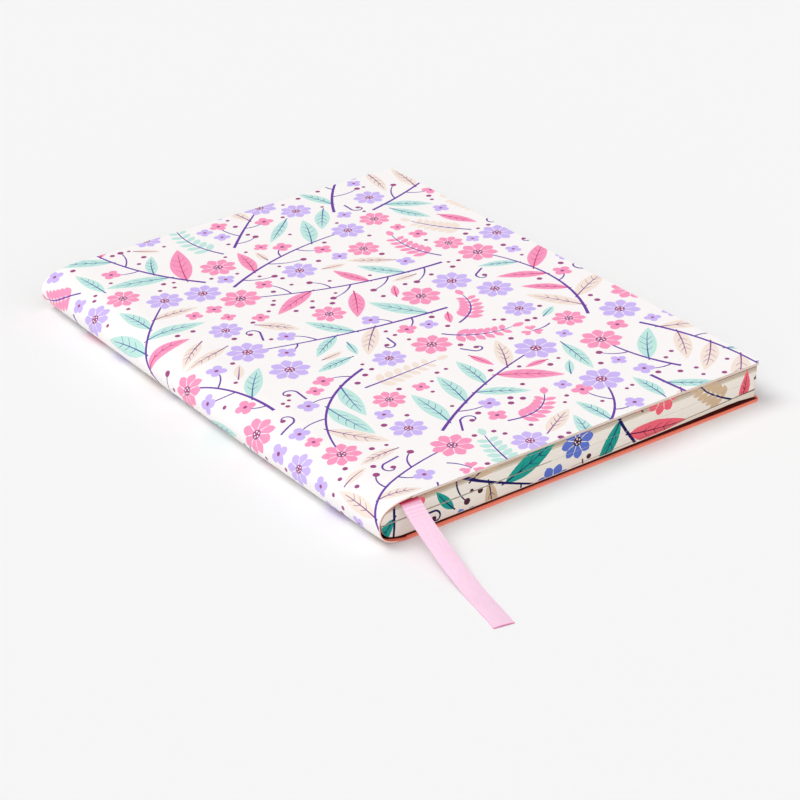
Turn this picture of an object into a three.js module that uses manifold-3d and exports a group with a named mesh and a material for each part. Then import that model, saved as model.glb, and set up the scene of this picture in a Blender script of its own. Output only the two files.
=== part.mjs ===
// Soft cover notebook, A5, lying closed on its back cover with a ribbon marker out at the tail.
// Millimetres. X runs from the spine to the fore edge, Y from the tail to the head, Z up.
// The model is drawn from the corner where spine, tail and table meet, and then centred.
import * as THREE from 'three';
import { mergeVertices } from 'three/addons/utils/BufferGeometryUtils.js';
import Module from 'manifold-3d';

const wasm = await Module();
wasm.setup();

// Overall size
const cover_width = 150;
const cover_height = 210;
const book_thickness = 14;
const cover_corner_radius = 2;

// Cover layers, from the outside in
const wrap_thickness = 0.2;
const card_thickness = 0.4;
const lining_thickness = 0.2;
const glue_line = 0.02;

// Outline of the rounded spine: how far each shoulder reaches over the covers, and how full its curve is
const front_shoulder_reach = 14;
const front_shoulder_rise = 4;
const front_shoulder_ease = 4.2;
const front_shoulder_slope = 0.25;
const back_shoulder_reach = 12;
const back_shoulder_rise = 4.8;
const back_shoulder_ease = 3.8;
const back_shoulder_slope = 0.6;
const shoulder_steps = 12;

// The crease where the book opens in the middle, and the one where the front cover turns
const crease_gap = 0.3;
const front_crease_from_spine = 9;
const card_past_shoulder = 0.5;

// Leaves
const sections_per_half = 6;
const section_gap = 0.1;
const leaf_gap = 0.1;
const flyleaf_thickness = 0.2;
const flyleaf_from_spine = 10;
const fore_edge_square = 1;
const tail_square = 0.8;
const block_lean = 0.8;
const leaf_corner_radius = 1;
const centre_leaves = 2;
const centre_leaf_thickness = 0.1;
const centre_leaf_from_fold = 0.3;

// Sewing and spine strip
const fold_slit = 0.06;
const fold_bore = 0.4;
const thread_size = 0.25;
const thread_clearance = 0.05;
const sewing_stations = 6;
const station_inset = 18;
const station_slot = 0.5;
const hollow_gap = 0.3;
const mull_thickness = 0.1;
const mull_inset = 9;
const mull_over_shoulder = 6;

// Ribbon marker
const ribbon_width = 6.5;
const ribbon_thickness = 0.2;
const ribbon_from_spine = 10;
const ribbon_gap = 0.1;
const ribbon_head_inset = 4;
const ribbon_exit_gap = 0.3;

// Worked out from the sizes above
const middle = book_thickness / 2;
const cover_depth = wrap_thickness + card_thickness + lining_thickness + 2 * glue_line;
const spine_depth = wrap_thickness + glue_line + lining_thickness;
const mull_depth = spine_depth + hollow_gap;
const thread_depth = mull_depth + mull_thickness + thread_clearance;
const fold_depth = thread_depth + thread_size + thread_clearance;
const flyleaf_depth = cover_depth + leaf_gap;
const block_bottom = flyleaf_depth + flyleaf_thickness + leaf_gap;
const ribbon_top = book_thickness - flyleaf_depth - flyleaf_thickness - ribbon_gap;
const block_top = ribbon_top - ribbon_thickness - ribbon_gap;
const centre_pitch = centre_leaf_thickness + section_gap;
const centre_opening = centre_leaves * centre_pitch + section_gap;
const block_height = cover_height - 2 * tail_square;
const fore_edge = cover_width - fore_edge_square;

const colours = {
  wrap: 0xfffbf9,
  card: 0xe8836c,
  lining: 0xf47c62,
  leaf: 0xe5ddd2,
  mull: 0xf4f1ea,
  thread: 0xf7f5f0,
  ribbon: 0xfdd6ec,
};

const book = new THREE.Group();
book.position.set(-cover_width / 2, -cover_height / 2, 0);

function add(name, geometry, colour, roughness) {
  const material = new THREE.MeshStandardMaterial({
    color: colour, roughness, metalness: 0, flatShading: true,
  });
  const mesh = new THREE.Mesh(geometry, material);
  mesh.name = name;
  book.add(mesh);
}

// A closed geometry as a solid that can be cut, and back
function solid(geometry) {
  const bare = geometry.clone();
  bare.deleteAttribute('normal');
  bare.deleteAttribute('uv');
  const merged = mergeVertices(bare, 1e-6);
  return new wasm.Manifold(new wasm.Mesh({
    numProp: 3,
    vertProperties: new Float32Array(merged.attributes.position.array),
    triVerts: new Uint32Array(merged.index.array),
  }));
}

function geometryOf(body) {
  const mesh = body.getMesh();
  const geometry = new THREE.BufferGeometry();
  geometry.setAttribute('position', new THREE.BufferAttribute(new Float32Array(mesh.vertProperties), 3));
  geometry.setIndex(new THREE.BufferAttribute(new Uint32Array(mesh.triVerts), 1));
  geometry.computeVertexNormals();
  return geometry;
}

// A profile in X and Z, drawn out along Y
function alongY(profile, from, to) {
  const shape = new THREE.Shape(profile);
  const geometry = new THREE.ExtrudeGeometry(shape, { depth: to - from, bevelEnabled: false });
  geometry.rotateX(Math.PI / 2);
  geometry.translate(0, to, 0);
  return geometry;
}

// A plan in X and Y, drawn up along Z
function upZ(shape, bottom, top) {
  const geometry = new THREE.ExtrudeGeometry(shape, {
    depth: top - bottom, bevelEnabled: false, curveSegments: 5,
  });
  geometry.translate(0, 0, bottom);
  return geometry;
}

// A leaf's plan: square at the spine, with two round corners at the fore edge
function leafPlan(left, right, tail, head, radius) {
  const plan = new THREE.Shape();
  plan.moveTo(left, tail);
  plan.lineTo(right - radius, tail);
  plan.absarc(right - radius, tail + radius, radius, -Math.PI / 2, 0, false);
  plan.lineTo(right, head - radius);
  plan.absarc(right - radius, head - radius, radius, 0, Math.PI / 2, false);
  plan.lineTo(left, head);
  plan.closePath();
  return plan;
}

const cover_plan = leafPlan(-1, cover_width, 0, cover_height, cover_corner_radius);
const cover_prism = solid(upZ(cover_plan, -1, book_thickness + 1));

function trimmedCover(profile) {
  return geometryOf(solid(alongY(profile, 0, cover_height)).intersect(cover_prism));
}

// The spine's outside as two curves that leave the middle crease and run into the covers.
// side is 1 for the front cover's shoulder and -1 for the back cover's.
function shoulderCurve(side) {
  const reach = side > 0 ? front_shoulder_reach : back_shoulder_reach;
  const rise = side > 0 ? front_shoulder_rise : back_shoulder_rise;
  const ease = side > 0 ? front_shoulder_ease : back_shoulder_ease;
  const slope = side > 0 ? front_shoulder_slope : back_shoulder_slope;
  return new THREE.CubicBezierCurve(
    new THREE.Vector2(0, middle + side * crease_gap / 2),
    new THREE.Vector2(0, middle + side * rise),
    new THREE.Vector2(ease, middle + side * (middle - slope)),
    new THREE.Vector2(reach, middle + side * middle),
  );
}

// A point of the shoulder, moved square inwards by depth
function shoulderPoint(side, t, depth) {
  const curve = shoulderCurve(side);
  const point = curve.getPoint(t);
  const run = curve.getTangent(t);
  return new THREE.Vector2(point.x + side * run.y * depth, point.y - side * run.x * depth);
}

// Where along its curve a shoulder stands at a given distance from the spine
function shoulderAt(side, x) {
  let low = 0;
  let high = 1;
  for (let i = 0; i < 40; i += 1) {
    const t = (low + high) / 2;
    if (shoulderCurve(side).getPoint(t).x < x) low = t;
    else high = t;
  }
  return low;
}

function shoulderRun(side, depth, from, to) {
  const run = [];
  for (let i = 0; i <= shoulder_steps; i += 1) {
    run.push(shoulderPoint(side, from + (to - from) * i / shoulder_steps, depth));
  }
  return run;
}

// A strip that follows a shoulder between two depths
function shoulderStrip(side, outer, inner, from, to) {
  return [...shoulderRun(side, outer, from, to), ...shoulderRun(side, inner, from, to).reverse()];
}

const near_crease = shoulderAt(1, front_crease_from_spine - crease_gap / 2);
const far_crease = shoulderAt(1, front_crease_from_spine + crease_gap / 2);

// Height of a flat layer that lies at a given depth under a cover's outside
function level(side, depth) {
  return middle + side * (middle - depth);
}

// Wrap: one printed sheet from fore edge to fore edge, creased at the middle of the spine
// and beside the front cover, so it is three nodes
function coverWrap(side, from) {
  return trimmedCover([
    ...shoulderRun(side, 0, from, 1),
    new THREE.Vector2(cover_width, level(side, 0)),
    new THREE.Vector2(cover_width, level(side, wrap_thickness)),
    ...shoulderRun(side, wrap_thickness, from, 1).reverse(),
  ]);
}

// Card: the stiffer layer, which stops short of the spine so that the spine stays supple
const card_depth = wrap_thickness + glue_line;

function cardStart(side) {
  return (side > 0 ? front_shoulder_reach : back_shoulder_reach) + card_past_shoulder;
}

function coverCard(side) {
  const outer = level(side, card_depth);
  const inner = level(side, card_depth + card_thickness);
  return trimmedCover([
    new THREE.Vector2(cardStart(side), outer),
    new THREE.Vector2(cover_width, outer),
    new THREE.Vector2(cover_width, inner),
    new THREE.Vector2(cardStart(side), inner),
  ]);
}

// Lining: the coral paper pasted over the inside, up the spine, over the card's edge and along the card
function coverLining(side, from) {
  const step = cardStart(side) - glue_line;
  return trimmedCover([
    ...shoulderRun(side, card_depth, from, 1),
    new THREE.Vector2(step, level(side, card_depth)),
    new THREE.Vector2(step, level(side, cover_depth - lining_thickness)),
    new THREE.Vector2(cover_width, level(side, cover_depth - lining_thickness)),
    new THREE.Vector2(cover_width, level(side, cover_depth)),
    new THREE.Vector2(step - lining_thickness, level(side, cover_depth)),
    new THREE.Vector2(step - lining_thickness, level(side, spine_depth)),
    ...shoulderRun(side, spine_depth, from, 1).reverse(),
  ]);
}

function spineStrip(depth, thickness, side, to, inset) {
  const profile = shoulderStrip(side, depth, depth + thickness, 0, to);
  return alongY(profile, inset, cover_height - inset);
}

add('back_cover_wrap', coverWrap(-1, 0), colours.wrap, 0.45);
add('back_cover_card', coverCard(-1), colours.card, 0.9);
add('back_cover_lining', coverLining(-1, 0), colours.lining, 0.7);
add('spine_wrap_upper', spineStrip(0, wrap_thickness, 1, near_crease, 0), colours.wrap, 0.45);
add('spine_lining_upper', spineStrip(card_depth, lining_thickness, 1, near_crease, 0), colours.lining, 0.7);
add('front_cover_wrap', coverWrap(1, far_crease), colours.wrap, 0.45);
add('front_cover_card', coverCard(1), colours.card, 0.9);
add('front_cover_lining', coverLining(1, far_crease), colours.lining, 0.7);

// Free coral endpapers, one at each end of the block
function flyleaf(side) {
  const head = cover_height - tail_square;
  const plan = leafPlan(flyleaf_from_spine, fore_edge, tail_square, head, leaf_corner_radius);
  const outer = level(side, flyleaf_depth);
  const inner = level(side, flyleaf_depth + flyleaf_thickness);
  return upZ(plan, Math.min(outer, inner), Math.max(outer, inner));
}

add('back_flyleaf', flyleaf(-1), colours.lining, 0.75);
add('front_flyleaf', flyleaf(1), colours.lining, 0.75);

// Sections: folded packs of leaves whose folds follow the rounded spine. The block leans a little, so each
// section sits further towards the tail than the one under it.
const section_count = 2 * sections_per_half;

function sectionLevels(index) {
  const side = index < sections_per_half ? -1 : 1;
  const from = side < 0 ? block_bottom : middle + centre_opening / 2;
  const to = side < 0 ? middle - centre_opening / 2 : block_top;
  const pitch = (to - from + section_gap) / sections_per_half;
  const low = from + pitch * (index % sections_per_half);
  return { side, low, high: low + pitch - section_gap };
}

// The fold's outermost X: far enough in that the round nose keeps fold_depth from the outside of the spine
function foldEdge(side, low, high) {
  const radius = (high - low) / 2;
  const centre = (high + low) / 2;
  let edge = fold_depth;
  for (let i = 0; i <= 400; i += 1) {
    const wall = shoulderPoint(side, i / 400, fold_depth);
    const rise = wall.y - centre;
    if (Math.abs(rise) < radius) {
      edge = Math.max(edge, wall.x - radius + Math.sqrt(radius * radius - rise * rise));
    }
  }
  return edge;
}

function stationPlaces(tail) {
  const places = [];
  const span = block_height - 2 * station_inset;
  for (let i = 0; i < sewing_stations; i += 1) {
    places.push(tail + station_inset + span * i / (sewing_stations - 1));
  }
  return places;
}

function arc(x, z, radius, from, to, steps) {
  const run = [];
  for (let i = 0; i <= steps; i += 1) {
    const turn = from + (to - from) * i / steps;
    run.push(new THREE.Vector2(x + radius * Math.cos(turn), z + radius * Math.sin(turn)));
  }
  return run;
}

function section(place) {
  const { edge, low, high, centre, radius, tail } = place;
  const bore = fold_bore / 2;
  const lip = Math.asin(fold_slit / fold_bore);
  const profile = [
    new THREE.Vector2(fore_edge + 1, low),
    new THREE.Vector2(fore_edge + 1, centre - fold_slit / 2),
    ...arc(edge + radius, centre, bore, -lip, lip - 2 * Math.PI, 6),
    new THREE.Vector2(fore_edge + 1, centre + fold_slit / 2),
    new THREE.Vector2(fore_edge + 1, high),
    ...arc(edge + radius, centre, radius, Math.PI / 2, 1.5 * Math.PI, 8),
  ];
  const head = tail + block_height;
  const plan = leafPlan(0, fore_edge, tail, head, leaf_corner_radius);
  let body = solid(alongY(profile, tail - 1, head + 1)).intersect(solid(upZ(plan, low - 1, high + 1)));
  for (const station of stationPlaces(tail)) {
    const slot = new THREE.BoxGeometry(radius + 1, station_slot, thread_size + 2 * thread_clearance);
    slot.translate(edge + (radius - 1) / 2, station, centre);
    body = body.subtract(solid(slot));
  }
  return geometryOf(body);
}

// Sewing thread of one section: in at one station and out at the next, laid in the fold or along its back
function thread(place) {
  const { edge, centre, radius, tail } = place;
  const inside = edge + radius;
  const outside = edge - thread_clearance - thread_size / 2;
  const stations = stationPlaces(tail);
  const route = [new THREE.Vector2(outside, stations[0] - station_slot * 2)];
  stations.forEach((station, i) => {
    const [first, second] = i % 2 === 0 ? [outside, inside] : [inside, outside];
    route.push(new THREE.Vector2(first, station), new THREE.Vector2(second, station));
  });
  const last = stations[stations.length - 1];
  route.push(new THREE.Vector2(route[route.length - 1].x, last + station_slot * 2));
  const band = new THREE.Shape(bandOutline(route, thread_size));
  return upZ(band, centre - thread_size / 2, centre + thread_size / 2);
}

// The outline of a band of even width along a route of square turns
function bandOutline(route, width) {
  const left = [];
  const right = [];
  route.forEach((point, i) => {
    const before = route[Math.max(i - 1, 0)];
    const after = route[Math.min(i + 1, route.length - 1)];
    const arriving = i > 0 ? squareTo(before, point) : squareTo(point, after);
    const leaving = i < route.length - 1 ? squareTo(point, after) : squareTo(before, point);
    const offset = arriving.equals(leaving) ? arriving : arriving.clone().add(leaving);
    left.push(point.clone().addScaledVector(offset, width / 2));
    right.push(point.clone().addScaledVector(offset, -width / 2));
  });
  return [...left, ...right.reverse()];
}

function squareTo(from, to) {
  return new THREE.Vector2(Math.sign(from.y - to.y), Math.sign(to.x - from.x));
}

function tailOf(height) {
  return tail_square + block_lean * (0.5 - (height - block_bottom) / (block_top - block_bottom));
}

for (let i = 0; i < section_count; i += 1) {
  const { side, low, high } = sectionLevels(i);
  const place = {
    edge: foldEdge(side, low, high),
    low,
    high,
    centre: (low + high) / 2,
    radius: (high - low) / 2,
    tail: tailOf((low + high) / 2),
  };
  const number = String(i + 1).padStart(2, '0');
  add(`section_${number}`, section(place), colours.leaf, 0.9);
  add(`thread_${number}`, thread(place), colours.thread, 0.8);
}

// Centre leaves: the two loose-turning leaves where the book falls open, one above the other
for (let i = 0; i < centre_leaves; i += 1) {
  const bottom = middle - centre_opening / 2 + section_gap + i * centre_pitch;
  const tail = tailOf(bottom);
  const left = fold_depth + centre_leaf_from_fold;
  const plan = leafPlan(left, fore_edge, tail, tail + block_height, leaf_corner_radius);
  add(`centre_leaf_${i + 1}`, upZ(plan, bottom, bottom + centre_leaf_thickness), colours.leaf, 0.9);
}

// Mull: the gauze strip glued over the folds, in two halves that part at the middle crease
for (const [name, side] of [['spine_mull_lower', -1], ['spine_mull_upper', 1]]) {
  const end = shoulderAt(side, mull_over_shoulder);
  add(name, spineStrip(mull_depth, mull_thickness, side, end, mull_inset), colours.mull, 0.9);
}

// Ribbon marker: the part inside lies on the top section, under the flyleaf
const ribbon_level = ribbon_top - ribbon_thickness / 2;
const ribbon_centre = ribbon_from_spine + ribbon_width / 2;

function ribbonInside() {
  const strip = new THREE.BoxGeometry(ribbon_width, cover_height - ribbon_head_inset, ribbon_thickness);
  strip.translate(ribbon_centre, (cover_height - ribbon_head_inset) / 2, ribbon_level);
  return strip;
}

// The free tail: X from the ribbon's centre, Y from the cover's tail edge and Z from the table
const ribbon_route = [
  [0, -ribbon_exit_gap, ribbon_level],
  [-0.05, -1.2, ribbon_level - 0.3],
  [-0.2, -2.8, 11.3],
  [-0.45, -5, 10.2],
  [-0.75, -8, 8.95],
  [-1, -11, 7.75],
  [-1.2, -14, 6.55],
  [-1.4, -17, 5.4],
  [-1.6, -20, 4.2],
  [-1.8, -23.5, 2.95],
  [-2.1, -27, 1.85],
  [-2.5, -31, 0.95],
  [-3.2, -36, 0.3],
  [-4.4, -43, 0.15],
  [-5.65, -50, 0.15],
  [-6.55, -54.6, 0.15],
];
const ribbon_steps = 28;

function ribbonTail() {
  const route = new THREE.CatmullRomCurve3(
    ribbon_route.map(([x, y, z]) => new THREE.Vector3(ribbon_centre + x, y, z)),
    false,
    'centripetal',
  );
  const corners = [];
  for (let i = 0; i <= ribbon_steps; i += 1) {
    const point = route.getPointAt(i / ribbon_steps);
    const run = route.getTangentAt(i / ribbon_steps);
    const across = new THREE.Vector3(-run.y, run.x, 0).normalize();
    const up = new THREE.Vector3().crossVectors(run, across).normalize();
    for (const [side, over] of [[-1, -1], [1, -1], [1, 1], [-1, 1]]) {
      corners.push(point.clone()
        .addScaledVector(across, side * ribbon_width / 2)
        .addScaledVector(up, over * ribbon_thickness / 2));
    }
  }
  const faces = [0, 2, 1, 0, 3, 2];
  for (let i = 0; i < ribbon_steps; i += 1) {
    for (let j = 0; j < 4; j += 1) {
      const a = 4 * i + j;
      const b = 4 * i + (j + 1) % 4;
      faces.push(a, b, b + 4, a, b + 4, a + 4);
    }
  }
  const end = 4 * ribbon_steps;
  faces.push(end, end + 1, end + 2, end, end + 2, end + 3);
  const geometry = new THREE.BufferGeometry().setFromPoints(corners);
  geometry.setIndex(faces);
  geometry.computeVertexNormals();
  return geometry;
}

add('ribbon_inner', ribbonInside(), colours.ribbon, 0.4);
add('ribbon_tail', ribbonTail(), colours.ribbon, 0.4);

export default book;
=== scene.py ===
# Soft cover notebook: a printed wrap over coral card and lining, sewn sections with printed edges, a ribbon.
# The script follows the book as a binder puts it together, from the ribbon and the leaves to the cover.
import math
import random

import bpy
import numpy as np
from mathutils import Matrix, Vector
from mathutils.geometry import delaunay_2d_cdt


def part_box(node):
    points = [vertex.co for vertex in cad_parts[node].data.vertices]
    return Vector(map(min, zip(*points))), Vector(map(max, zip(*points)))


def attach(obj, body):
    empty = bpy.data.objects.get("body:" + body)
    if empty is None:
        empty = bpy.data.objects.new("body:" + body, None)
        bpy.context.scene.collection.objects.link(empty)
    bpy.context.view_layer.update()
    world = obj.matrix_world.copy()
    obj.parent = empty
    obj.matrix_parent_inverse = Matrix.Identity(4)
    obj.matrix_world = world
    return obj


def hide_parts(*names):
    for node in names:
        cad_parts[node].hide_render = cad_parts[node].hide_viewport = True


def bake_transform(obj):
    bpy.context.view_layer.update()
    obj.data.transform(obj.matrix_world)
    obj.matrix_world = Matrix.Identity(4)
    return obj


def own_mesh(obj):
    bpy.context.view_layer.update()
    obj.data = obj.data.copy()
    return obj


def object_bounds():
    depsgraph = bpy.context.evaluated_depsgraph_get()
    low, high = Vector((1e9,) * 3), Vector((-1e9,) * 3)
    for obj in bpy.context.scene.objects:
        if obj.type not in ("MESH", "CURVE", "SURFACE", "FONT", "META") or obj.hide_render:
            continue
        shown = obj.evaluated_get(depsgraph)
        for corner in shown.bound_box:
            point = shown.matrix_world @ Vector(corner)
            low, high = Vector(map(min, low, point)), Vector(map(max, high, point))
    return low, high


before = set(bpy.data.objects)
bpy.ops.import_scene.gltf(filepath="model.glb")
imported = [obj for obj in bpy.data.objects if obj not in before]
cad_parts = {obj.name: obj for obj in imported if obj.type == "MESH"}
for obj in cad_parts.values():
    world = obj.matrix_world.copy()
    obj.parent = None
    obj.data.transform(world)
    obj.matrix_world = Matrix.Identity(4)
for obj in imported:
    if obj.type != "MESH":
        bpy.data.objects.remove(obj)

CAD_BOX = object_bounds()
MM = 0.001
TURN = 2 * math.pi


# View
# The photograph's viewpoint: a long lens from the front left, looking down on the tail edge and the spine.
# The book is A5, so the distance is a real one.
PHOTO_SIZE = 800
SENSOR_WIDTH = 36
FOCAL_PIXELS = 2411.6
EYE = Vector((-395.8, -612.1, 367.8)) * MM
VIEW_AZIMUTH = math.radians(-33.25)
VIEW_ELEVATION = math.radians(27.92)
VIEW_ROLL = math.radians(-2.71)
NEAREST, FARTHEST = 0.05, 20


def view_turn(azimuth, elevation, roll):
    """The camera's turn, with its level axes rolled about the line of sight."""
    back = Vector((math.sin(azimuth) * math.cos(elevation), -math.cos(azimuth) * math.cos(elevation),
                   math.sin(elevation)))
    right = Vector((0, 0, 1)).cross(back).normalized()
    up = back.cross(right)
    level_right = math.cos(roll) * right + math.sin(roll) * up
    level_up = math.cos(roll) * up - math.sin(roll) * right
    return Matrix((level_right, level_up, back)).transposed().to_4x4()


camera_data = bpy.data.cameras.new("photo_camera")
camera_data.sensor_width = SENSOR_WIDTH
camera_data.lens = SENSOR_WIDTH * FOCAL_PIXELS / PHOTO_SIZE
camera_data.clip_start = NEAREST
camera_data.clip_end = FARTHEST
camera = bpy.data.objects.new("photo_camera", camera_data)
camera.matrix_world = Matrix.Translation(EYE) @ view_turn(VIEW_AZIMUTH, VIEW_ELEVATION, VIEW_ROLL)
bpy.context.scene.collection.objects.link(camera)
bpy.context.scene.camera = camera


# Ribbon marker
# A woven satin ribbon, pressed flat, glued in at the head and longer than the book by a finger's length.
# Its tail comes out over the top section, drops to the table and ends in a heat-cut edge.
CORNER, BACK_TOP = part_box("back_cover_wrap")
RIBBON_LOW, RIBBON_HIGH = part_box("ribbon_inner")
RIBBON_WIDTH = (RIBBON_HIGH.x - RIBBON_LOW.x) / MM
RIBBON_THICKNESS = 0.2
RIBBON_CENTRE = ((RIBBON_LOW.x + RIBBON_HIGH.x) / 2 - CORNER.x) / MM
RIBBON_LEVEL = (RIBBON_LOW.z + RIBBON_HIGH.z) / 2 / MM
# X from the ribbon's centre, Y from the cover's tail edge and Z from the table, in millimetres
RIBBON_ROUTE = [
    (0, -0.3, RIBBON_LEVEL), (-0.05, -1.2, RIBBON_LEVEL - 0.3), (-0.2, -2.8, 11.3), (-0.45, -5, 10.2),
    (-0.75, -8, 8.95), (-1, -11, 7.75), (-1.2, -14, 6.55), (-1.4, -17, 5.4), (-1.6, -20, 4.2),
    (-1.8, -23.5, 2.95), (-2.1, -27, 1.85), (-2.5, -31, 0.95), (-3.2, -36, 0.3), (-4.4, -43, 0.15),
    (-5.65, -50, 0.15), (-6.55, -54.6, 0.15),
]
RIBBON_STEPS = 150
RIBBON_ACROSS = 16
RIBBON_CROWN = 0.25
SPAN_STEPS = 24
HELD_STEPS = 40
EDGE_ANGLE = math.radians(50)
SATIN_PINK = "#FED9EE"
SATIN_SHADE = "#F6BFDC"
CUT_PINK = "#F26CB0"
# Painted shade with a painted red reflection of the coral lining, where the ribbon leaves the book
EXIT_SHADOW_CRIMSON = "#C81E52"
EXIT_SHADE = 1.8
RIB_PINK = "#F3A9D0"
RIB_PITCH = 1.3
RIB_FADE = 9
RIB_INK = 0.65
SELVEDGE = (0.9, 0.97)
WARP_PITCH = 0.09


def at(x, y, z):
    """A point in millimetres from the corner of spine, tail and table, in the frame's metres."""
    return Vector((x, y, z)) * MM + CORNER


def paint(code):
    """A colour written as sRGB, as the linear values that a shader takes."""
    parts = [int(code[i:i + 2], 16) / 255 for i in (1, 3, 5)]
    return (*(p / 12.92 if p <= 0.04045 else ((p + 0.055) / 1.055) ** 2.4 for p in parts), 1)


class Signal:
    """A shader socket. Arithmetic on it adds Math nodes."""

    def __init__(self, finish, socket):
        self.finish = finish
        self.socket = socket

    def math(self, operation, *values):
        return self.finish.node("ShaderNodeMath", {"operation": operation}, dict(enumerate(values)))

    def __add__(self, other):
        return self.math("ADD", self, other)

    def __sub__(self, other):
        return self.math("SUBTRACT", self, other)

    def __rsub__(self, other):
        return self.math("SUBTRACT", other, self)

    def __mul__(self, other):
        return self.math("MULTIPLY", self, other)

    def __truediv__(self, other):
        return self.math("DIVIDE", self, other)

    def __gt__(self, other):
        return self.math("GREATER_THAN", self, other)

    def __lt__(self, other):
        return self.math("LESS_THAN", self, other)

    __radd__ = __add__
    __rmul__ = __mul__

    def wave(self, pitch):
        """From 0 to 1 and back once in each pitch."""
        return self.math("SINE", self * (TURN / pitch)) * 0.5 + 0.5

    def rise(self, start, end):
        """0 before start, 1 after end, and smooth between them."""
        limits = {"Value": self, "From Min": start, "From Max": end}
        return self.finish.node("ShaderNodeMapRange", {"interpolation_type": "SMOOTHSTEP"}, limits)


class Finish:
    """A material, built up from the nodes that its sections ask for."""

    def __init__(self, name, **constants):
        self.material = bpy.data.materials.new(name)
        self.material.use_nodes = True
        self.tree = self.material.node_tree
        self.shader = self.tree.nodes["Principled BSDF"]
        for socket, value in constants.items():
            self.shader.inputs[socket.replace("_", " ")].default_value = value

    def feed(self, socket, value):
        if isinstance(value, Signal):
            self.tree.links.new(value.socket, socket)
        else:
            socket.default_value = value

    def node(self, kind, settings=None, sockets=None, output=0):
        made = self.tree.nodes.new(kind)
        for name, value in (settings or {}).items():
            setattr(made, name, value)
        for name, value in (sockets or {}).items():
            self.feed(made.inputs[name], value)
        return Signal(self, made.outputs[output])

    def place(self):
        return self.node("ShaderNodeTexCoord", output="Object")

    def axis(self, name, vector=None):
        vector = vector or self.place()
        return self.node("ShaderNodeSeparateXYZ", sockets={"Vector": vector}, output=name)

    def grain(self, size, detail=2, stretch=(1, 1, 1)):
        """Noise whose features are about size millimetres, drawn out by stretch."""
        scale = [1 / (size * MM * s) for s in stretch]
        spot = self.node("ShaderNodeVectorMath", {"operation": "MULTIPLY"}, {0: self.place(), 1: scale})
        return self.node("ShaderNodeTexNoise", sockets={"Vector": spot, "Scale": 1, "Detail": detail})

    def attribute(self, name, output="Fac"):
        return self.node("ShaderNodeAttribute", {"attribute_name": name}, output=output)

    def blend(self, factor, first, second, how="MIX"):
        """Two colours, mixed. Sockets 6 and 7 are the colour ones."""
        settings = {"data_type": "RGBA", "blend_type": how}
        return self.node("ShaderNodeMix", settings, {0: factor, 6: first, 7: second}, output=2)

    def shade(self, colour, amount):
        """A colour, darkened to a grey level given as a signal."""
        grey = self.node("ShaderNodeCombineXYZ", sockets={"X": amount, "Y": amount, "Z": amount})
        return self.blend(1, colour, grey, "MULTIPLY")

    def relief(self, height, depth):
        """Bump of a depth in millimetres."""
        sockets = {"Height": height, "Distance": depth * MM, "Strength": 1}
        self.feed(self.shader.inputs["Normal"], self.node("ShaderNodeBump", sockets=sockets))

    def colour(self, value):
        self.feed(self.shader.inputs["Base Color"], value)

    def roughness(self, value):
        self.feed(self.shader.inputs["Roughness"], value)


def piece(name, points, faces, finish, attributes=None, smooth=True):
    """A mesh piece at the origin, with its points in the frame's metres."""
    mesh = bpy.data.meshes.new(name)
    mesh.from_pydata([tuple(p) for p in points], [], faces)
    for label, values in (attributes or {}).items():
        mesh.attributes.new(label, "FLOAT", "POINT").data.foreach_set("value", values)
    mesh.materials.append(finish.material)
    mesh.polygons.foreach_set("use_smooth", [smooth] * len(mesh.polygons))
    made = bpy.data.objects.new(name, mesh)
    bpy.context.scene.collection.objects.link(made)
    return made


def satin():
    """Warp threads give a fine sheen along the ribbon, and weft ribs show where it bends over the cover."""
    made = Finish("satin", Specular_IOR_Level=0.5, Sheen_Weight=0.25, Sheen_Roughness=0.35)
    along, across = made.attribute("along"), made.attribute("across")
    near = 1 - along.rise(0, RIB_FADE)
    ribs = along.wave(RIB_PITCH)
    selvedge = across.math("ABSOLUTE", across).rise(*SELVEDGE)
    threads = across.wave(WARP_PITCH)
    mottle = made.grain(1.2, 3, (0.3, 3, 1))
    pink = made.blend(mottle.rise(0.35, 0.7) * 0.35, paint(SATIN_PINK), paint(SATIN_SHADE))
    pink = made.blend(ribs.rise(0.6, 1) * near * RIB_INK, pink, paint(RIB_PINK))
    pink = made.blend(selvedge * 0.45, pink, paint(SATIN_SHADE))
    pink = made.blend(made.attribute("cut") * 0.9, pink, paint(CUT_PINK))
    # Painted shade and painted red reflection: crimson where the ribbon leaves the book
    pink = made.blend(made.attribute("shade"), pink, paint(EXIT_SHADOW_CRIMSON))
    made.colour(pink)
    made.roughness(0.42 + mottle * 0.12)
    made.relief(ribs * (near * 0.8 + 0.12) + threads * 0.25 + selvedge * 0.6, 0.05)
    return made


def smooth_route(points, steps):
    """Evenly spaced points on one smooth curve through the given ones."""
    knots = [Vector(p) for p in points]
    knots = [2 * knots[0] - knots[1], *knots, 2 * knots[-1] - knots[-2]]
    dense = []
    for a, b, c, d in zip(knots, knots[1:], knots[2:], knots[3:]):
        t = np.cumsum([0.0, *((q - p).length ** 0.5 for p, q in ((a, b), (b, c), (c, d)))])
        for u in np.linspace(t[1], t[2], SPAN_STEPS, endpoint=False):
            ab = a.lerp(b, (u - t[0]) / (t[1] - t[0]))
            bc = b.lerp(c, (u - t[1]) / (t[2] - t[1]))
            cd = c.lerp(d, (u - t[2]) / (t[3] - t[2]))
            abc = ab.lerp(bc, (u - t[0]) / (t[2] - t[0]))
            bcd = bc.lerp(cd, (u - t[1]) / (t[3] - t[1]))
            dense.append(abc.lerp(bcd, (u - t[1]) / (t[2] - t[1])))
    dense = np.array([*dense, knots[-2]])
    runs = np.concatenate([[0], np.cumsum(np.linalg.norm(np.diff(dense, axis=0), axis=1))])
    even = np.linspace(0, runs[-1], steps + 1)
    return [Vector(p) for p in np.stack([np.interp(even, runs, dense[:, k]) for k in range(3)], 1)], runs[-1]


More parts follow.
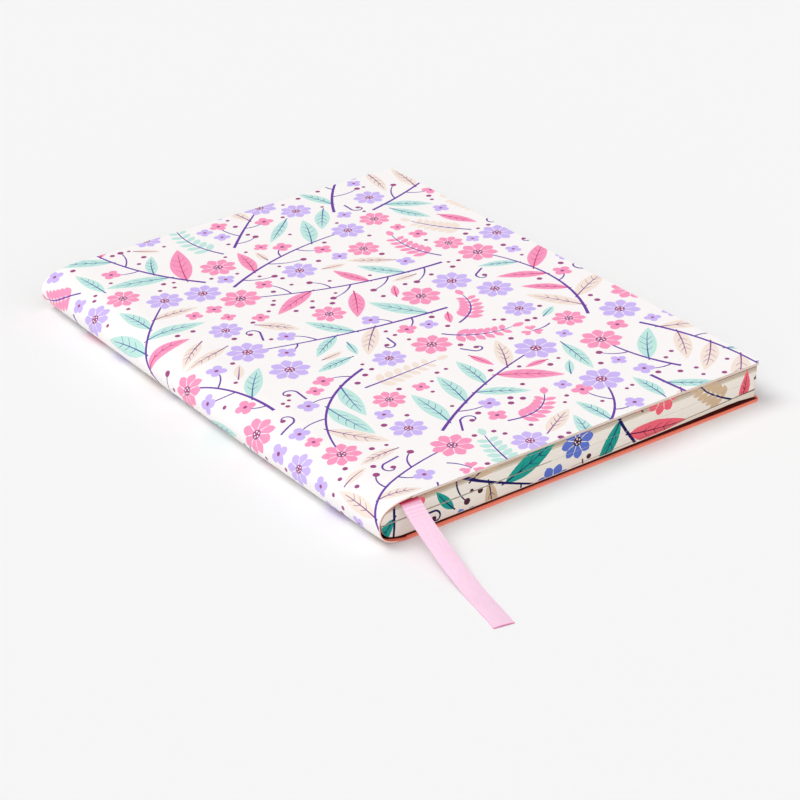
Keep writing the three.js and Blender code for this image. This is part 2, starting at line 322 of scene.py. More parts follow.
def ribbon_strip(name, route, length, exit_at, crown=0.0):
    """A flat band along a route, crowned across its width, with square selvedges and closed ends.

    Where it leaves the book, at exit_at along its length, it is painted crimson: painted shade with a painted
    red reflection of the coral lining.
    """
    points, faces, along, across, cut, shade = [], [], [], [], [], []
    ring = 2 * (RIBBON_ACROSS + 1)
    last = len(route) - 1
    for i, middle in enumerate(route):
        run = (route[min(i + 1, last)] - route[max(i - 1, 0)]).normalized()
        side = Vector((-run.y, run.x, 0)).normalized()
        up = run.cross(side)
        for over in (-1, 1):
            for j in range(RIBBON_ACROSS + 1):
                share = (2 * j / RIBBON_ACROSS - 1) * -over
                lift = crown * (1 - share * share) * min(1, 3 * i / last)
                spot = middle + side * share * RIBBON_WIDTH / 2 + up * (lift + over * RIBBON_THICKNESS / 2)
                points.append(at(*spot))
                along.append(length * i / last)
                across.append(share)
                cut.append(1.0 if i == last and exit_at == 0 else 0.0)
                shade.append(max(0.0, 1 - abs(along[-1] - exit_at) / EXIT_SHADE))
    for i in range(last):
        for j in range(ring):
            a, b = ring * i + j, ring * i + (j + 1) % ring
            faces.append((a, b, b + ring, a + ring))
    faces.append(tuple(reversed(range(ring))))
    faces.append(tuple(range(ring * last, ring * (last + 1))))
    made = piece(name, points, faces, SATIN,
                 {"along": along, "across": across, "cut": cut, "shade": shade})
    made.modifiers.new("edges", "EDGE_SPLIT").split_angle = EDGE_ANGLE
    return made


SATIN = satin()
tail_route, tail_length = smooth_route([(RIBBON_CENTRE + x, y, z) for x, y, z in RIBBON_ROUTE], RIBBON_STEPS)
ribbon_tail = ribbon_strip("ribbon_free_tail", tail_route, tail_length, 0, RIBBON_CROWN)
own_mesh(ribbon_tail)
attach(ribbon_tail, "ribbon_tail")
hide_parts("ribbon_tail")

held_route = [Vector((RIBBON_CENTRE, (y - CORNER.y) / MM, RIBBON_LEVEL))
              for y in np.linspace(RIBBON_HIGH.y, RIBBON_LOW.y, HELD_STEPS)]
held_length = (RIBBON_HIGH.y - RIBBON_LOW.y) / MM
ribbon_held = ribbon_strip("ribbon_in_book", held_route, held_length, held_length)
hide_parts("ribbon_inner")
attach(ribbon_held, "front_half")


# Leaves and their printed edges
# Folded sections of eight leaves, gathered, sewn and trimmed. The three trimmed edges are printed while the
# block is clamped, with flowers in deeper inks than the cover's, because paper edges drink more of the ink.
COVER_WIDTH = (BACK_TOP.x - CORNER.x) / MM
BOOK_THICKNESS = (CAD_BOX[1].z - CORNER.z) / MM
MIDDLE = BOOK_THICKNESS / 2
# The curve of each side of the spine: its reach over the cover, rise, ease and slope
FRONT_SHOULDER = (14, 4, 4.2, 0.25)
BACK_SHOULDER = (12, 4.8, 3.8, 0.6)
GIRTH_STEPS = 400
SECTIONS_PER_HALF = 6
SECTION_COUNT = 2 * SECTIONS_PER_HALF
SECTION_FILL = 0.04
LEAF_CORNER = 1.0
CORNER_STEPS = 4
LEAF_PAPER = "#E9E1D7"
PAGE_PAPER = "#F6F1E6"
RULE_INK = "#C9CBDD"
RULE_PITCH = 7
RULE_WIDTH = 0.25
RULED_FROM, RULED_TO, RULED_UP_TO = 12, 143, 190
# The inks from "shade" on are painted shade: shadow in the gaps between leaves, and under the front cover
EDGE_INKS = {
    "ground": "#F1E9DF", "lavender": "#5D75CB", "pink": "#EF6577", "mint": "#129A8E", "cream": "#D3B797",
    "stem": "#150C58", "plum": "#4C1D33", "milk": "#F1E9DF", "mint_vein": "#150C58", "pink_vein": "#5A1440",
    "cream_vein": "#150C58", "bare": "#EBE2D4", "shade": "#7C6C54",
    "painted_shadow_line": "#9C8A7E", "painted_shadow_pale": "#CDBDAE", "painted_shadow_tan": "#BBA991", "painted_shadow_low": "#CEBEAB",
    "painted_shadow_last": "#DCCFC1",
}
EDGE_SEED = 15
# The layout of the motifs: the pitch of its grid, how far it runs past the sheet, and the room round each
CELL = 0.5
OVERRUN = 45
CLEARANCE = 1.0
CUT_SLACK = 1e-4


def shoulder(side, reach, rise, ease, slope):
    """One side of the spine's outside as a cubic curve, from mid spine to where the cover lies flat."""
    a, b, c, d = (np.array(p) for p in (
        (0, MIDDLE), (0, MIDDLE + side * rise), (ease, MIDDLE + side * (MIDDLE - slope)),
        (reach, MIDDLE + side * MIDDLE)))
    t = np.linspace(0, 1, GIRTH_STEPS + 1)[:, None]
    return a * (1 - t)**3 + 3 * b * t * (1 - t)**2 + 3 * c * t**2 * (1 - t) + d * t**3


def girth_table():
    """The cover's outside from fore edge to fore edge, how far along each point is, and its inward way."""
    back = shoulder(-1, *BACK_SHOULDER)
    front = shoulder(1, *FRONT_SHOULDER)
    line = np.vstack([(COVER_WIDTH, 0), back[::-1], front[1:], (COVER_WIDTH, BOOK_THICKNESS)])
    run = np.concatenate([[0], np.cumsum(np.linalg.norm(np.diff(line, axis=0), axis=1))])
    run -= run[1 + GIRTH_STEPS]
    slope = np.gradient(line, run, axis=0)
    slope[:2], slope[-2:] = (-1, 0), (1, 0)
    slope /= np.linalg.norm(slope, axis=1)[:, None]
    return run, line, np.stack([slope[:, 1], -slope[:, 0]], 1)


GIRTH, GIRTH_LINE, GIRTH_INWARD = girth_table()


def moved(outline, x, y, turn=0.0):
    """An outline, turned about the origin and then shifted."""
    c, s = math.cos(turn), math.sin(turn)
    return [(x + c * px - s * py, y + s * px + c * py) for px, py in outline]


def put(shapes, x, y, turn=0.0):
    """A motif's shapes, turned and shifted as one."""
    return [(ink, moved(outline, x, y, turn)) for ink, outline in shapes]


def blade(length, width, fullness=1.0, bend=0.0, steps=10, blunt=0.85):
    """A leaf or petal outline that grows up from the origin."""
    left, right = [], []
    for i in range(1, steps):
        u = i / steps
        half = width / 2 * math.sin(math.pi * u**fullness) ** blunt
        left.append((bend * u * u - half, length * u))
        right.append((bend * u * u + half, length * u))
    return [(0.0, 0.0), *right, (bend, length), *reversed(left)]


def disc(radius, steps=12, x=0.0, y=0.0):
    """A round outline about a point."""
    turns = [TURN * i / steps for i in range(steps)]
    return [(x + radius * math.cos(t), y + radius * math.sin(t)) for t in turns]


def stroke(points, start, end):
    """A pen line along points, as wide as start at one end and end at the other."""
    left, right = [], []
    last = len(points) - 1
    for i, (x, y) in enumerate(points):
        ax, ay = points[max(i - 1, 0)]
        bx, by = points[min(i + 1, last)]
        run = math.hypot(bx - ax, by - ay)
        nx, ny = -(by - ay) / run, (bx - ax) / run
        half = (start + (end - start) * i / last) / 2
        left.append((x + nx * half, y + ny * half))
        right.append((x - nx * half, y - ny * half))
    return [*right, *reversed(left)]


def daisy(radius, ink):
    """A flower of eight petals parted by pale lines, with five pale dots in its eye."""
    petals = 8
    petal = blade(radius, 0.68 * TURN * radius / petals, 1.5, 0.0, 9, 0.62)
    shapes = [(ink, moved(petal, 0, 0, TURN * i / petals)) for i in range(petals)]
    gap = blade(radius * 0.78, radius * 0.05, 1.0, 0.0, 3)
    shapes += [("milk", moved(gap, 0, 0, TURN * (i + 0.5) / petals)) for i in range(petals)]
    shapes.append(("plum", disc(radius * 0.25, 14)))
    for i in range(5):
        turn = TURN * i / 5 + 0.3
        dot = disc(radius * 0.05, 6, radius * 0.14 * math.sin(turn), radius * 0.14 * math.cos(turn))
        shapes.append(("milk", dot))
    return shapes


def pinwheel(radius, ink):
    """A small flower of four round petals."""
    petal = disc(radius * 0.44, 12, 0, radius * 0.56)
    shapes = [(ink, moved(petal, 0, 0, TURN * i / 4)) for i in range(4)]
    return [*shapes, ("plum", disc(radius * 0.2, 10))]


def long_leaf(length, width, bend, ink):
    """A slender leaf with its rib, and with side veins where it is long enough."""
    rib = [(bend * u * u, length * u) for u in (-0.06 + 0.9 * i / 8 for i in range(9))]
    shapes = [(ink, blade(length, width, 0.85, bend, 13)), (ink + "_vein", stroke(rib, 0.55, 0.2))]
    twigs = 3 if length > 13 else 0
    for i in range(twigs):
        u = 0.26 + 0.17 * i
        reach = 0.34 * width * math.sin(math.pi * u**0.85)
        x, y = bend * u * u, length * u
        for side in (-1, 1):
            twig = [(x, y), (x + side * reach * 0.55, y + reach * 0.6), (x + side * reach, y + reach * 1.4)]
            shapes.append((ink + "_vein", stroke(twig, 0.26, 0.12)))
    return shapes


def arch_point(length, bow, u):
    """A point of a stem that bows aside, a share u of the way up."""
    return bow * 4 * u * (1 - u), length * u


def arch(length, bow, steps=12):
    """A bowed stem's points from foot to tip."""
    return [arch_point(length, bow, i / steps) for i in range(steps + 1)]


def arch_turn(length, bow, u):
    """How far a bowed stem leans from straight up, a share u of the way."""
    return math.atan2(-bow * 4 * (1 - 2 * u), length)


def fern(length, bow, ink):
    """A frond of paired leaflets, with one more at its tip."""
    shapes = []
    pairs = 6
    for i in range(pairs):
        u = 0.2 + 0.76 * i / pairs
        turn = arch_turn(length, bow, u)
        for side in (-1, 1):
            leaf = blade(6.4 - 2.6 * u, 3.2 - 1.1 * u, 1.1, 0.3 * side, 7, 0.8)
            shapes.append((ink, moved(leaf, *arch_point(length, bow, u), turn - side * 0.9)))
    tip = blade(5, 2.7, 1.1, 0, 7, 0.8)
    shapes.append((ink, moved(tip, *arch_point(length, bow, 1), arch_turn(length, bow, 1))))
    return [*shapes, ("stem", stroke(arch(length, bow), 0.8, 0.35))]


def heart(size, y):
    """A heart-shaped leaflet, its middle at y."""
    outline = []
    for i in range(16):
        t = -TURN * i / 16
        tall = 13 * math.cos(t) - 5 * math.cos(2 * t) - 2 * math.cos(3 * t) - math.cos(4 * t)
        outline.append((size / 32 * 16 * math.sin(t) ** 3, y + size / 32 * tall))
    return outline


def clover(size, ink):
    """Three heart-shaped leaflets on a short stem."""
    leaf = heart(size * 0.62, size * 0.36)
    stem = moved(stroke(arch(size * 1.3, 0.8, 6), 0.35, 0.65), 0, 0, math.pi)
    return [("stem", stem), *((ink, moved(leaf, 0, 0, TURN * i / 3)) for i in range(3))]


def curl(size, hand):
    """A tendril that winds up to a berry, to the left or right as hand says."""
    points = [(0, -size), (0, -size * 0.5)]
    for i in range(22):
        u = i / 21
        turn = 4.4 * u**1.25
        radius = size * 0.5 * (1 - 0.78 * u)
        points.append((hand * (size * 0.5 - radius * math.cos(turn)), radius * math.sin(turn)))
    return [("stem", stroke(points, 0.75, 0.45)), ("plum", disc(0.95, 10, *points[-1]))]


def spray(length, bow, flower, chance):
    """A long stem with leaves, twigs and small flowers by turns, and a daisy at its tip."""
    shapes = []
    side = chance.choice((-1, 1))
    stops = int(length / 8.5)
    for i in range(stops):
        u = 0.1 + 0.76 * i / stops
        x, y = arch_point(length, bow, u)
        side = -side
        turn = arch_turn(length, bow, u) - side * chance.uniform(0.65, 0.95)
        kind = chance.random()
        if kind < 0.6:
            size = chance.uniform(15, 26) * (1.1 - 0.35 * u)
            leaf = long_leaf(size, size * 0.29, 2.2 * side, chance.choice(("mint", "pink", "cream", "mint")))
            shapes += put(leaf, x, y, turn)
            continue
        twig = chance.uniform(7, 13)
        shapes += put([("stem", stroke(arch(twig, 1.2 * side, 6), 0.65, 0.4))], x, y, turn)
        tip = moved([(0, twig)], x, y, turn)[0]
        if kind < 0.85:
            other = "lavender" if flower == "pink" else "pink"
            shapes += put(pinwheel(3.6, chance.choice((other, flower))), *tip, chance.uniform(0, 1))
        else:
            shapes.append(("plum", disc(1.2, 10, *tip)))
    shapes.append(("stem", stroke(arch(length, bow, 18), 1.15, 0.55)))
    head = daisy(chance.uniform(6.4, 7.6), flower)
    return shapes + put(head, *arch_point(length, bow, 1), chance.uniform(0, 1))


def cells_under(outline, origin):
    """The cells of the layout's grid that an outline covers, by counting its crossings beside each cell."""
    points = (np.array(outline) - origin) / CELL
    left, below = np.floor(points.min(0)).astype(int) - 3
    right, above = np.ceil(points.max(0)).astype(int) + 4
    x, y = np.arange(left, right) + 0.5, np.arange(below, above) + 0.5
    inside = np.zeros((len(x), len(y)), bool)
    for (ax, ay), (bx, by) in zip(points, np.roll(points, -1, 0)):
        if ay != by:
            crossed = (ay > y) != (by > y)
            inside ^= crossed & (x[:, None] < ax + (y - ay) / (by - ay) * (bx - ax))
    return left, below, inside


def lay_out(low, high, seed):
    """A sheet of motifs between two corners, the largest first, each clear of the others."""
    chance = random.Random(seed)
    origin = np.array(low, float) - OVERRUN
    size = np.ceil((np.array(high) - low + 2 * OVERRUN) / CELL).astype(int)
    taken = np.zeros(size, bool)
    sheet = []
    petals = ("lavender", "pink", "lavender")
    greens = ("mint", "pink", "cream")

    def any_taken(shapes):
        spots = np.array([p for _, outline in shapes for p in outline])
        cells = ((spots - origin) / CELL).astype(int)
        cells = cells[((cells >= 0) & (cells < size)).all(1)]
        return taken[cells[:, 0], cells[:, 1]].any()

    def take(shapes):
        reach = round(CLEARANCE / CELL)
        steps = [(i, j) for i in range(-reach, reach + 1) for j in range(-reach, reach + 1)
                 if i * i + j * j <= reach * reach + 1]
        for ink, outline in shapes:
            if ink == "milk" or ink.endswith("vein"):
                continue
            left, below, inside = cells_under(outline, origin)
            near = np.zeros_like(inside)
            for step in steps:
                near |= np.roll(inside, step, (0, 1))
            x, y = np.nonzero(near)
            x, y = x + left, y + below
            good = (x >= 0) & (y >= 0) & (x < size[0]) & (y < size[1])
            taken[x[good], y[good]] = True

    def scatter(make, each, reach, tries):
        """Puts one motif on each so many square millimetres, with so many tries for each that is wanted."""
        wanted = (high[0] - low[0] + 2 * reach) * (high[1] - low[1] + 2 * reach) / each
        placed = 0
        for _ in range(int(tries * wanted)):
            if placed >= wanted:
                break
            x = chance.uniform(low[0] - reach, high[0] + reach)
            y = chance.uniform(low[1] - reach, high[1] + reach)
            shapes = put(make(), x, y, chance.uniform(0, TURN))
            if not any_taken(shapes):
                take(shapes)
                sheet.extend(shapes)
                placed += 1

    some, pick = chance.uniform, chance.choice
    scatter(lambda: spray(some(44, 74), some(-9, 9), pick(petals), chance), 2700, 25, 40)
    scatter(lambda: spray(some(30, 44), some(-5, 5), pick(petals), chance), 2600, 15, 40)
    scatter(lambda: fern(some(20, 32), some(-4, 4), pick(greens)), 2600, 12, 30)
    scatter(lambda: daisy(some(5.6, 7.4), pick(petals)), 1100, 6, 40)
    scatter(lambda: long_leaf(some(14, 21), some(4.4, 5.8), some(-2.5, 2.5), pick(greens)), 800, 6, 40)
    scatter(lambda: curl(some(5, 7), pick((-1, 1))), 2300, 4, 20)
    scatter(lambda: clover(some(6, 8), pick(("mint", "pink"))), 1500, 4, 25)
    scatter(lambda: pinwheel(some(2.8, 3.8), pick(petals)), 480, 4, 30)
    scatter(lambda: long_leaf(some(8, 12), some(2.8, 3.8), some(-1, 1), pick(greens)), 420, 3, 30)
    scatter(lambda: [("plum", disc(some(0.7, 1.1), 10))], 210, 1, 20)
    return sheet


def cut_sheet(outline, lines, motifs):
    """A flat sheet cut into triangles along the outline of every motif, with the ink of each triangle."""
    points, edges, faces, inks = [], [], [], []

    def lay(shape, ink):
        faces.append(list(range(len(points), len(points) + len(shape))))
        points.extend(Vector(p) for p in shape)
        inks.append(ink)

    lay(outline, "ground")
    (left, below), (right, above) = np.min(outline, 0), np.max(outline, 0)
    for ink, shape in motifs:
        low, high = np.min(shape, 0), np.max(shape, 0)
        if low[0] < right and high[0] > left and low[1] < above and high[1] > below:
            lay(shape, ink)
    for line in lines:
        edges.append((len(points), len(points) + 1))
        points.extend(Vector(p) for p in line)
    spots, _, triangles, _, _, owners = delaunay_2d_cdt(points, edges, faces, 0, CUT_SLACK)
    kept = [(tuple(t), inks[max(o)]) for t, o in zip(triangles, owners) if 0 in o]
    used = sorted({i for triangle, _ in kept for i in triangle})
    rank = {old: new for new, old in enumerate(used)}
    return [spots[i] for i in used], [tuple(rank[i] for i in t) for t, _ in kept], [ink for _, ink in kept]


def print_on(mesh, inks, palette):
    """Stores the ink of every face as a colour attribute, in a palette's colours."""
    shades = {name: [int(code[i:i + 2], 16) / 255 for i in (1, 3, 5)] + [1]
              for name, code in palette.items()}
    layer = mesh.color_attributes.new("ink", "BYTE_COLOR", "CORNER")
    values = []
    for face, ink in zip(mesh.polygons, inks):
        values += shades[ink] * face.loop_total
    layer.data.foreach_set("color_srgb", values)


def rim_of(triangles):
    """The outline of a cut sheet, as one loop of vertices."""
    once = set()
    for a, b, c in triangles:
        for edge in ((a, b), (b, c), (c, a)):
            if edge[::-1] in once:
                once.remove(edge[::-1])
            else:
                once.add(edge)
    follow = dict(once)
    loop = [min(follow)]
    while follow[loop[-1]] != loop[0]:
        loop.append(follow[loop[-1]])
    return loop


def two_sided(faces, count):
    """A cut sheet's edges, the faces of its rim and those of its back, whose points come count later."""
    loop = rim_of(faces)
    edges = list(zip(loop, loop[1:] + loop[:1]))
    rim = [(b, a, a + count, b + count) for a, b in edges]
    behind = [(c + count, b + count, a + count) for a, b, c in faces]
    return edges, rim, behind


def strip_between(first, second, along_first, along_second):
    """Triangles between two rows of vertices that are both sorted by how far along they are."""
    faces, i, j = [], 0, 0
    while i < len(first) - 1 or j < len(second) - 1:
        ahead = j == len(second) - 1 or (i < len(first) - 1 and along_first[i + 1] <= along_second[j + 1])
        if ahead:
            faces.append((first[i + 1], first[i], second[j]))
            i += 1
        else:
            faces.append((first[i], second[j], second[j + 1]))
            j += 1
    return faces


def paper():
    """Trimmed paper: fine lines between the leaves on the cut edges, faint blue ruling on the pages."""
    made = Finish("block_paper", Specular_IOR_Level=0.25)
    page = made.attribute("page")
    place = made.place()
    x, y, z = (made.axis(name, place) for name in "XYZ")
    streak = made.grain(0.16, 3, (60, 60, 1))
    fibre = made.grain(0.5, 4)
    tooth = made.grain(0.12, 2)
    ink = made.attribute("ink", "Color")
    level = 1.02 - streak.rise(0.3, 0.75) * 0.09 - (1 - tooth.rise(0.3, 0.6)) * 0.05
    edge = made.shade(ink, level)
    line = (y / (RULE_PITCH * MM)).math("FRACT", y / (RULE_PITCH * MM)) < RULE_WIDTH / RULE_PITCH
    across = (x > (RULED_FROM * MM + CORNER.x)) * (x < (RULED_TO * MM + CORNER.x))
    inside = across * (y < (RULED_UP_TO * MM + CORNER.y))
    ruled = made.blend(line * inside * 0.85, paint(PAGE_PAPER), paint(RULE_INK))
    ruled = made.blend(fibre.rise(0.4, 0.8) * 0.06, ruled, paint(LEAF_PAPER))
    made.colour(made.blend(page, edge, ruled))
    made.roughness(0.78 + fibre * 0.15)
    made.relief(streak * (1 - page) * 0.6 + fibre * 0.15, 0.05)
    return made


PAPER = paper()
BLOCK_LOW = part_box("section_01")[0]
TOP_LOW, BLOCK_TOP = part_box(f"section_{SECTION_COUNT:02d}")
BLOCK_FOOT, BLOCK_HEAD = (BLOCK_LOW.z - CORNER.z) / MM, (BLOCK_TOP.z - CORNER.z) / MM
FORE_EDGE = (BLOCK_TOP.x - CORNER.x) / MM
EDGE_GIRTH = 2 * FORE_EDGE + (BLOCK_TOP.y - TOP_LOW.y) / MM
edge_print = lay_out((0, 0), (EDGE_GIRTH, BLOCK_HEAD + 1), EDGE_SEED)
# The lowest leaves lift at the corner of tail and fore edge, and the last section parts from the rest there
CORNER_LIFT = 2.5
LOOSE_LIFT = 0.9
LOOSE_DROOP = 9
LIFT_REACH = 9
LIFT_RUN = 75
LIFT_DEPTH = 60
LOOSE_THICKNESS = 0.9
# The middle stands a little open beside the ribbon and closes towards the fore edge
OPEN_UNTIL = 25
SHUT_FROM = 85
SHUT_BY = 0.12
SHUT_REACH = 0.8
HALF_GAP = 0.25
CENTRE_LEAVES_WITHIN = 0.2
# The spine is drawn in at the tail, over so much of its height and so far over the cover
TAIL_PINCH = 2.2
PINCH_RUN = 120
PINCH_REACH = 16
# At the tail, the folds of the lower half stand back from the lining
STAND_BACK = 0.55
STAND_BACK_RUN = 14
STAND_BACK_ABOVE = 1.5
STAND_BACK_EASE = 2.5
# The folds stand so deep inside the spine's outside, and each is rounded
BLOCK_DEPTH = 1.17
FOLD_ROUND = 0.16
FOLD_STEPS = 12
EDGE_CUTS = 6
BARE_FOOT = 0.28
BARE_CORNER = 2
# Under the front cover the edge carries painted shadow, in lines that fade downwards:
# how deep each goes, and where it begins
SECTIONS_WITH_PAINTED_SHADOW = 3
HEAD_SHADES = (("painted_shadow_last", 1.75, 0), ("painted_shadow_low", 1.35, 0), ("painted_shadow_tan", 0.95, 0), ("painted_shadow_pale", 0.65, 50),
               ("painted_shadow_line", 0.3, 50))
HEAD_WEDGE = 30
# Beside the ribbon the top section stands up to the flyleaf
TOP_RISE = 0.34
TOP_RISE_REACH = 2.5
RISE_FROM, RISE_TO = RIBBON_CENTRE + 5, RIBBON_CENTRE + 22
# A fine line parts the lowest and the top section from what they lie on,
# and a painted shadow line runs along the lowest's top
LINE_BELOW_TOP = 0.06
SHADE_LINE = 0.12


def smooth_step(value, start, end):
    """0 before start, 1 after end, and smooth between them."""
    share = min(max((value - start) / (end - start), 0.0), 1.0)
    return share * share * (3 - 2 * share)


def drawn_in(x, y, depth=0):
    """X of a point at that depth inside the spine, once the folds have drawn it in at the tail."""
    along = max(0.0, 1 - y / PINCH_RUN)**3
    across = max(0.0, 1 - max(x - depth, 0) / PINCH_REACH)**2
    return x + TAIL_PINCH * along * across


def fold_line(z, depth):
    """How far from the spine's outermost line the folds stand at a height, at a depth inside the spine."""
    line = GIRTH_LINE + GIRTH_INWARD * depth
    bent = slice(1, -1)
    return float(np.interp(z, line[bent, 1], line[bent, 0]))


def settled(x, y, z, loose):
    """Where a point of the block lies: drawn in with the spine, lifted at the corner, shut or stood back."""
    corner = max(0.0, 1 - (FORE_EDGE - x) / LIFT_RUN) ** 1.5 * max(0.0, 1 - y / LIFT_DEPTH)
    lift = CORNER_LIFT * max(0.0, 1 - (z - BLOCK_FOOT) / LIFT_REACH)
    if loose:
        low = LOOSE_LIFT * (1 - smooth_step(x + y / 2, FORE_EDGE - LOOSE_DROOP, FORE_EDGE))
        lift = low + (lift - low) * min(1, (z - BLOCK_FOOT) / LOOSE_THICKNESS)
    off_middle = abs(z - MIDDLE)
    near_middle = max(0.0, 1 - abs(off_middle - HALF_GAP) / SHUT_REACH)
    shut = SHUT_BY * smooth_step(x, OPEN_UNTIL, SHUT_FROM) * near_middle
    shut *= 1 if z < MIDDLE else -1
    beside_ribbon = smooth_step(x, RISE_FROM, RISE_TO)
    shut += TOP_RISE * beside_ribbon * smooth_step(z, BLOCK_HEAD - TOP_RISE_REACH, BLOCK_HEAD)
    lower_half = smooth_step(MIDDLE + STAND_BACK_ABOVE - z, 0, STAND_BACK_EASE)
    back = STAND_BACK * lower_half * max(0.0, 1 - y / STAND_BACK_RUN)**2
    back *= max(0.0, 1 - x / PINCH_REACH)**2
    if off_middle <= CENTRE_LEAVES_WITHIN:
        shut = 0
    return at(drawn_in(x, y, BLOCK_DEPTH) + back, y, z + lift * corner + shut)


def leaves(name, node, sink, rise, marks_on_top=(), loose=False, marks_below=()):
    """A pack of leaves, its folds rounded to the spine, with its print on the three trimmed edges.

    The print is laid along u, from the tail's edge round the fore edge to the head's.
    """
    low, high = ((corner - CORNER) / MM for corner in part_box(node))
    z0, z1 = low.z - sink, high.z + rise
    straight = FORE_EDGE - LEAF_CORNER
    bend = LEAF_CORNER * math.pi / 2
    side = high.y - low.y - 2 * LEAF_CORNER
    marks = (straight, straight + bend, straight + bend + side, straight + 2 * bend + side)

    def at_head(x):
        return marks[3] + straight - x

    def spot(u, z):
        if u <= marks[0]:
            return settled(u, low.y, z, loose)
        if u <= marks[1]:
            turn = (u - marks[0]) / LEAF_CORNER
            x, y = straight + LEAF_CORNER * math.sin(turn), low.y + LEAF_CORNER * (1 - math.cos(turn))
            return settled(x, y, z, loose)
        if u <= marks[2]:
            return settled(FORE_EDGE, low.y + LEAF_CORNER + u - marks[1], z, loose)
        if u <= marks[3]:
            turn = (u - marks[2]) / LEAF_CORNER
            x, y = straight + LEAF_CORNER * math.cos(turn), high.y - LEAF_CORNER * (1 - math.sin(turn))
            return settled(x, y, z, loose)
        return settled(at_head(u), high.y, z, loose)

    inset = max(low.x - fold_line((z0 + z1) / 2, BLOCK_DEPTH), 0) if z1 - z0 < FOLD_ROUND else 0
    fold = []
    for i in range(FOLD_STEPS + 1):
        share = (1 - math.cos(math.pi * i / FOLD_STEPS)) / 2
        z = z1 + (z0 - z1) * share
        near = min(1.0, min(z - z0, z1 - z) / FOLD_ROUND)
        fold.append((inset + fold_line(z, BLOCK_DEPTH) + FOLD_ROUND * (1 - math.sqrt(1 - (1 - near)**2)), z))
    outline = [*((at_head(x), z) for x, z in reversed(fold)), *fold]
    top_start, bottom_start = fold[0][0], fold[-1][0]

    corners = (marks[0], marks[2])
    cuts = [start + bend * i / CORNER_STEPS for start in corners for i in range(CORNER_STEPS + 1)]
    cuts += list(np.arange(top_start + EDGE_CUTS, at_head(top_start) - EDGE_CUTS, EDGE_CUTS))
    lines = [((u, z0 - 1), (u, z1 + 1)) for u in cuts]
    flat, faces, inks = cut_sheet(outline, lines, [*marks_below, *edge_print, *marks_on_top])
    loop = rim_of(faces)

    def on_row(v, z, start):
        low_end, high_end = start - CUT_SLACK, at_head(start) + CUT_SLACK
        return abs(flat[v].y - z) < CUT_SLACK and low_end < flat[v].x < high_end

    first = next(i for i, v in enumerate(loop)
                 if on_row(v, z0, bottom_start) and flat[v].x < bottom_start + CUT_SLACK)
    loop = loop[first:] + loop[:first]
    under = [v for v in loop if on_row(v, z0, bottom_start)]
    over = [v for v in loop if on_row(v, z1, top_start)]
    tail_cap = loop[loop.index(over[-1]):] + loop[:1]
    head_cap = loop[loop.index(under[-1]):loop.index(over[0]) + 1][::-1]

    def page(row, upwards):
        tail_until, head_from = marks[0] + CUT_SLACK, marks[3] - CUT_SLACK
        tail = [v for v in row if flat[v].x <= tail_until]
        head = [v for v in reversed(row) if flat[v].x >= head_from]
        end = [v for v in row if marks[0] - CUT_SLACK <= flat[v].x <= marks[3] + CUT_SLACK]
        tail_places = [flat[v].x for v in tail]
        head_places = [at_head(flat[v].x) for v in head]
        if upwards:
            return [*strip_between(head, tail, head_places, tail_places), tuple(end)]
        return [*strip_between(tail, head, tail_places, head_places), tuple(reversed(end))]

    folds = strip_between(tail_cap, head_cap, [-flat[v].y for v in tail_cap], [-flat[v].y for v in head_cap])
    pages = [*page(over[::-1], True), *page(under, False)]
    made = piece(name, [spot(p.x, p.y) for p in flat], [*faces, *folds, *pages], PAPER, smooth=False)
    print_on(made.data, [*inks, *["ground"] * (len(folds) + len(pages))], EDGE_INKS)
    flags = [0.0] * (len(faces) + len(folds)) + [1.0] * len(pages)
    made.data.attributes.new("page", "FLOAT", "FACE").data.foreach_set("value", flags)
    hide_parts(node)
    return made


def band(ink, z0, z1, first, last):
    """An inked band between two heights."""
    return ink, [(first, z0), (last, z0), (last, z1), (first, z1)]


def foot_marks():
    """The lowest section's bare line along its foot, which widens at the corner, and a painted shadow line at
    its top.
    """
    corner = FORE_EDGE + LEAF_CORNER
    line, wide = BLOCK_FOOT + BARE_FOOT, BLOCK_FOOT + BARE_CORNER
    under = BLOCK_FOOT - 1
    bare = [(0, under), (EDGE_GIRTH, under), (EDGE_GIRTH, line), (corner + LIFT_DEPTH, line),
            (corner, wide), (FORE_EDGE - BARE_CORNER, wide), (FORE_EDGE - LIFT_RUN / 2, line), (0, line)]
    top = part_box("section_01")[1].z / MM - CORNER.z / MM
    # Painted shadow along the top of the lowest section
    shade = band("shade", top - SHADE_LINE, top + 1, FORE_EDGE - LIFT_RUN, corner + LIFT_DEPTH)
    return [("bare", bare), shade]


def head_marks():
    """The painted shadow under the front cover, in lines. Those that begin part of the way along begin as a
    wedge.
    """
    marks = []
    over = BLOCK_HEAD + 1
    for ink, deep, start in HEAD_SHADES:
        low = BLOCK_HEAD - deep
        begins = [(start, BLOCK_HEAD), (start + HEAD_WEDGE, low)] if start else [(start, low)]
        marks.append((ink, [*begins, (EDGE_GIRTH, low), (EDGE_GIRTH, over), (start, over)]))
    return marks


for number in range(1, SECTION_COUNT + 1):
    label = f"{number:02d}"
    rise = 0 if number in (SECTIONS_PER_HALF, SECTION_COUNT) else SECTION_FILL
    sink = SECTION_FILL
    if number in (1, SECTION_COUNT):
        sink = -LINE_BELOW_TOP
    if number == SECTIONS_PER_HALF + 1:
        sink = 0
    on_top = foot_marks() if number == 1 else []
    # The top sections carry the painted shadow of the front cover on their edges
    below = head_marks() if number > SECTION_COUNT - SECTIONS_WITH_PAINTED_SHADOW else []
    section = leaves(f"leaves_{label}", f"section_{label}", sink, rise, on_top, number == 1, below)
    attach(section, "back_half" if number <= SECTIONS_PER_HALF else "front_half")
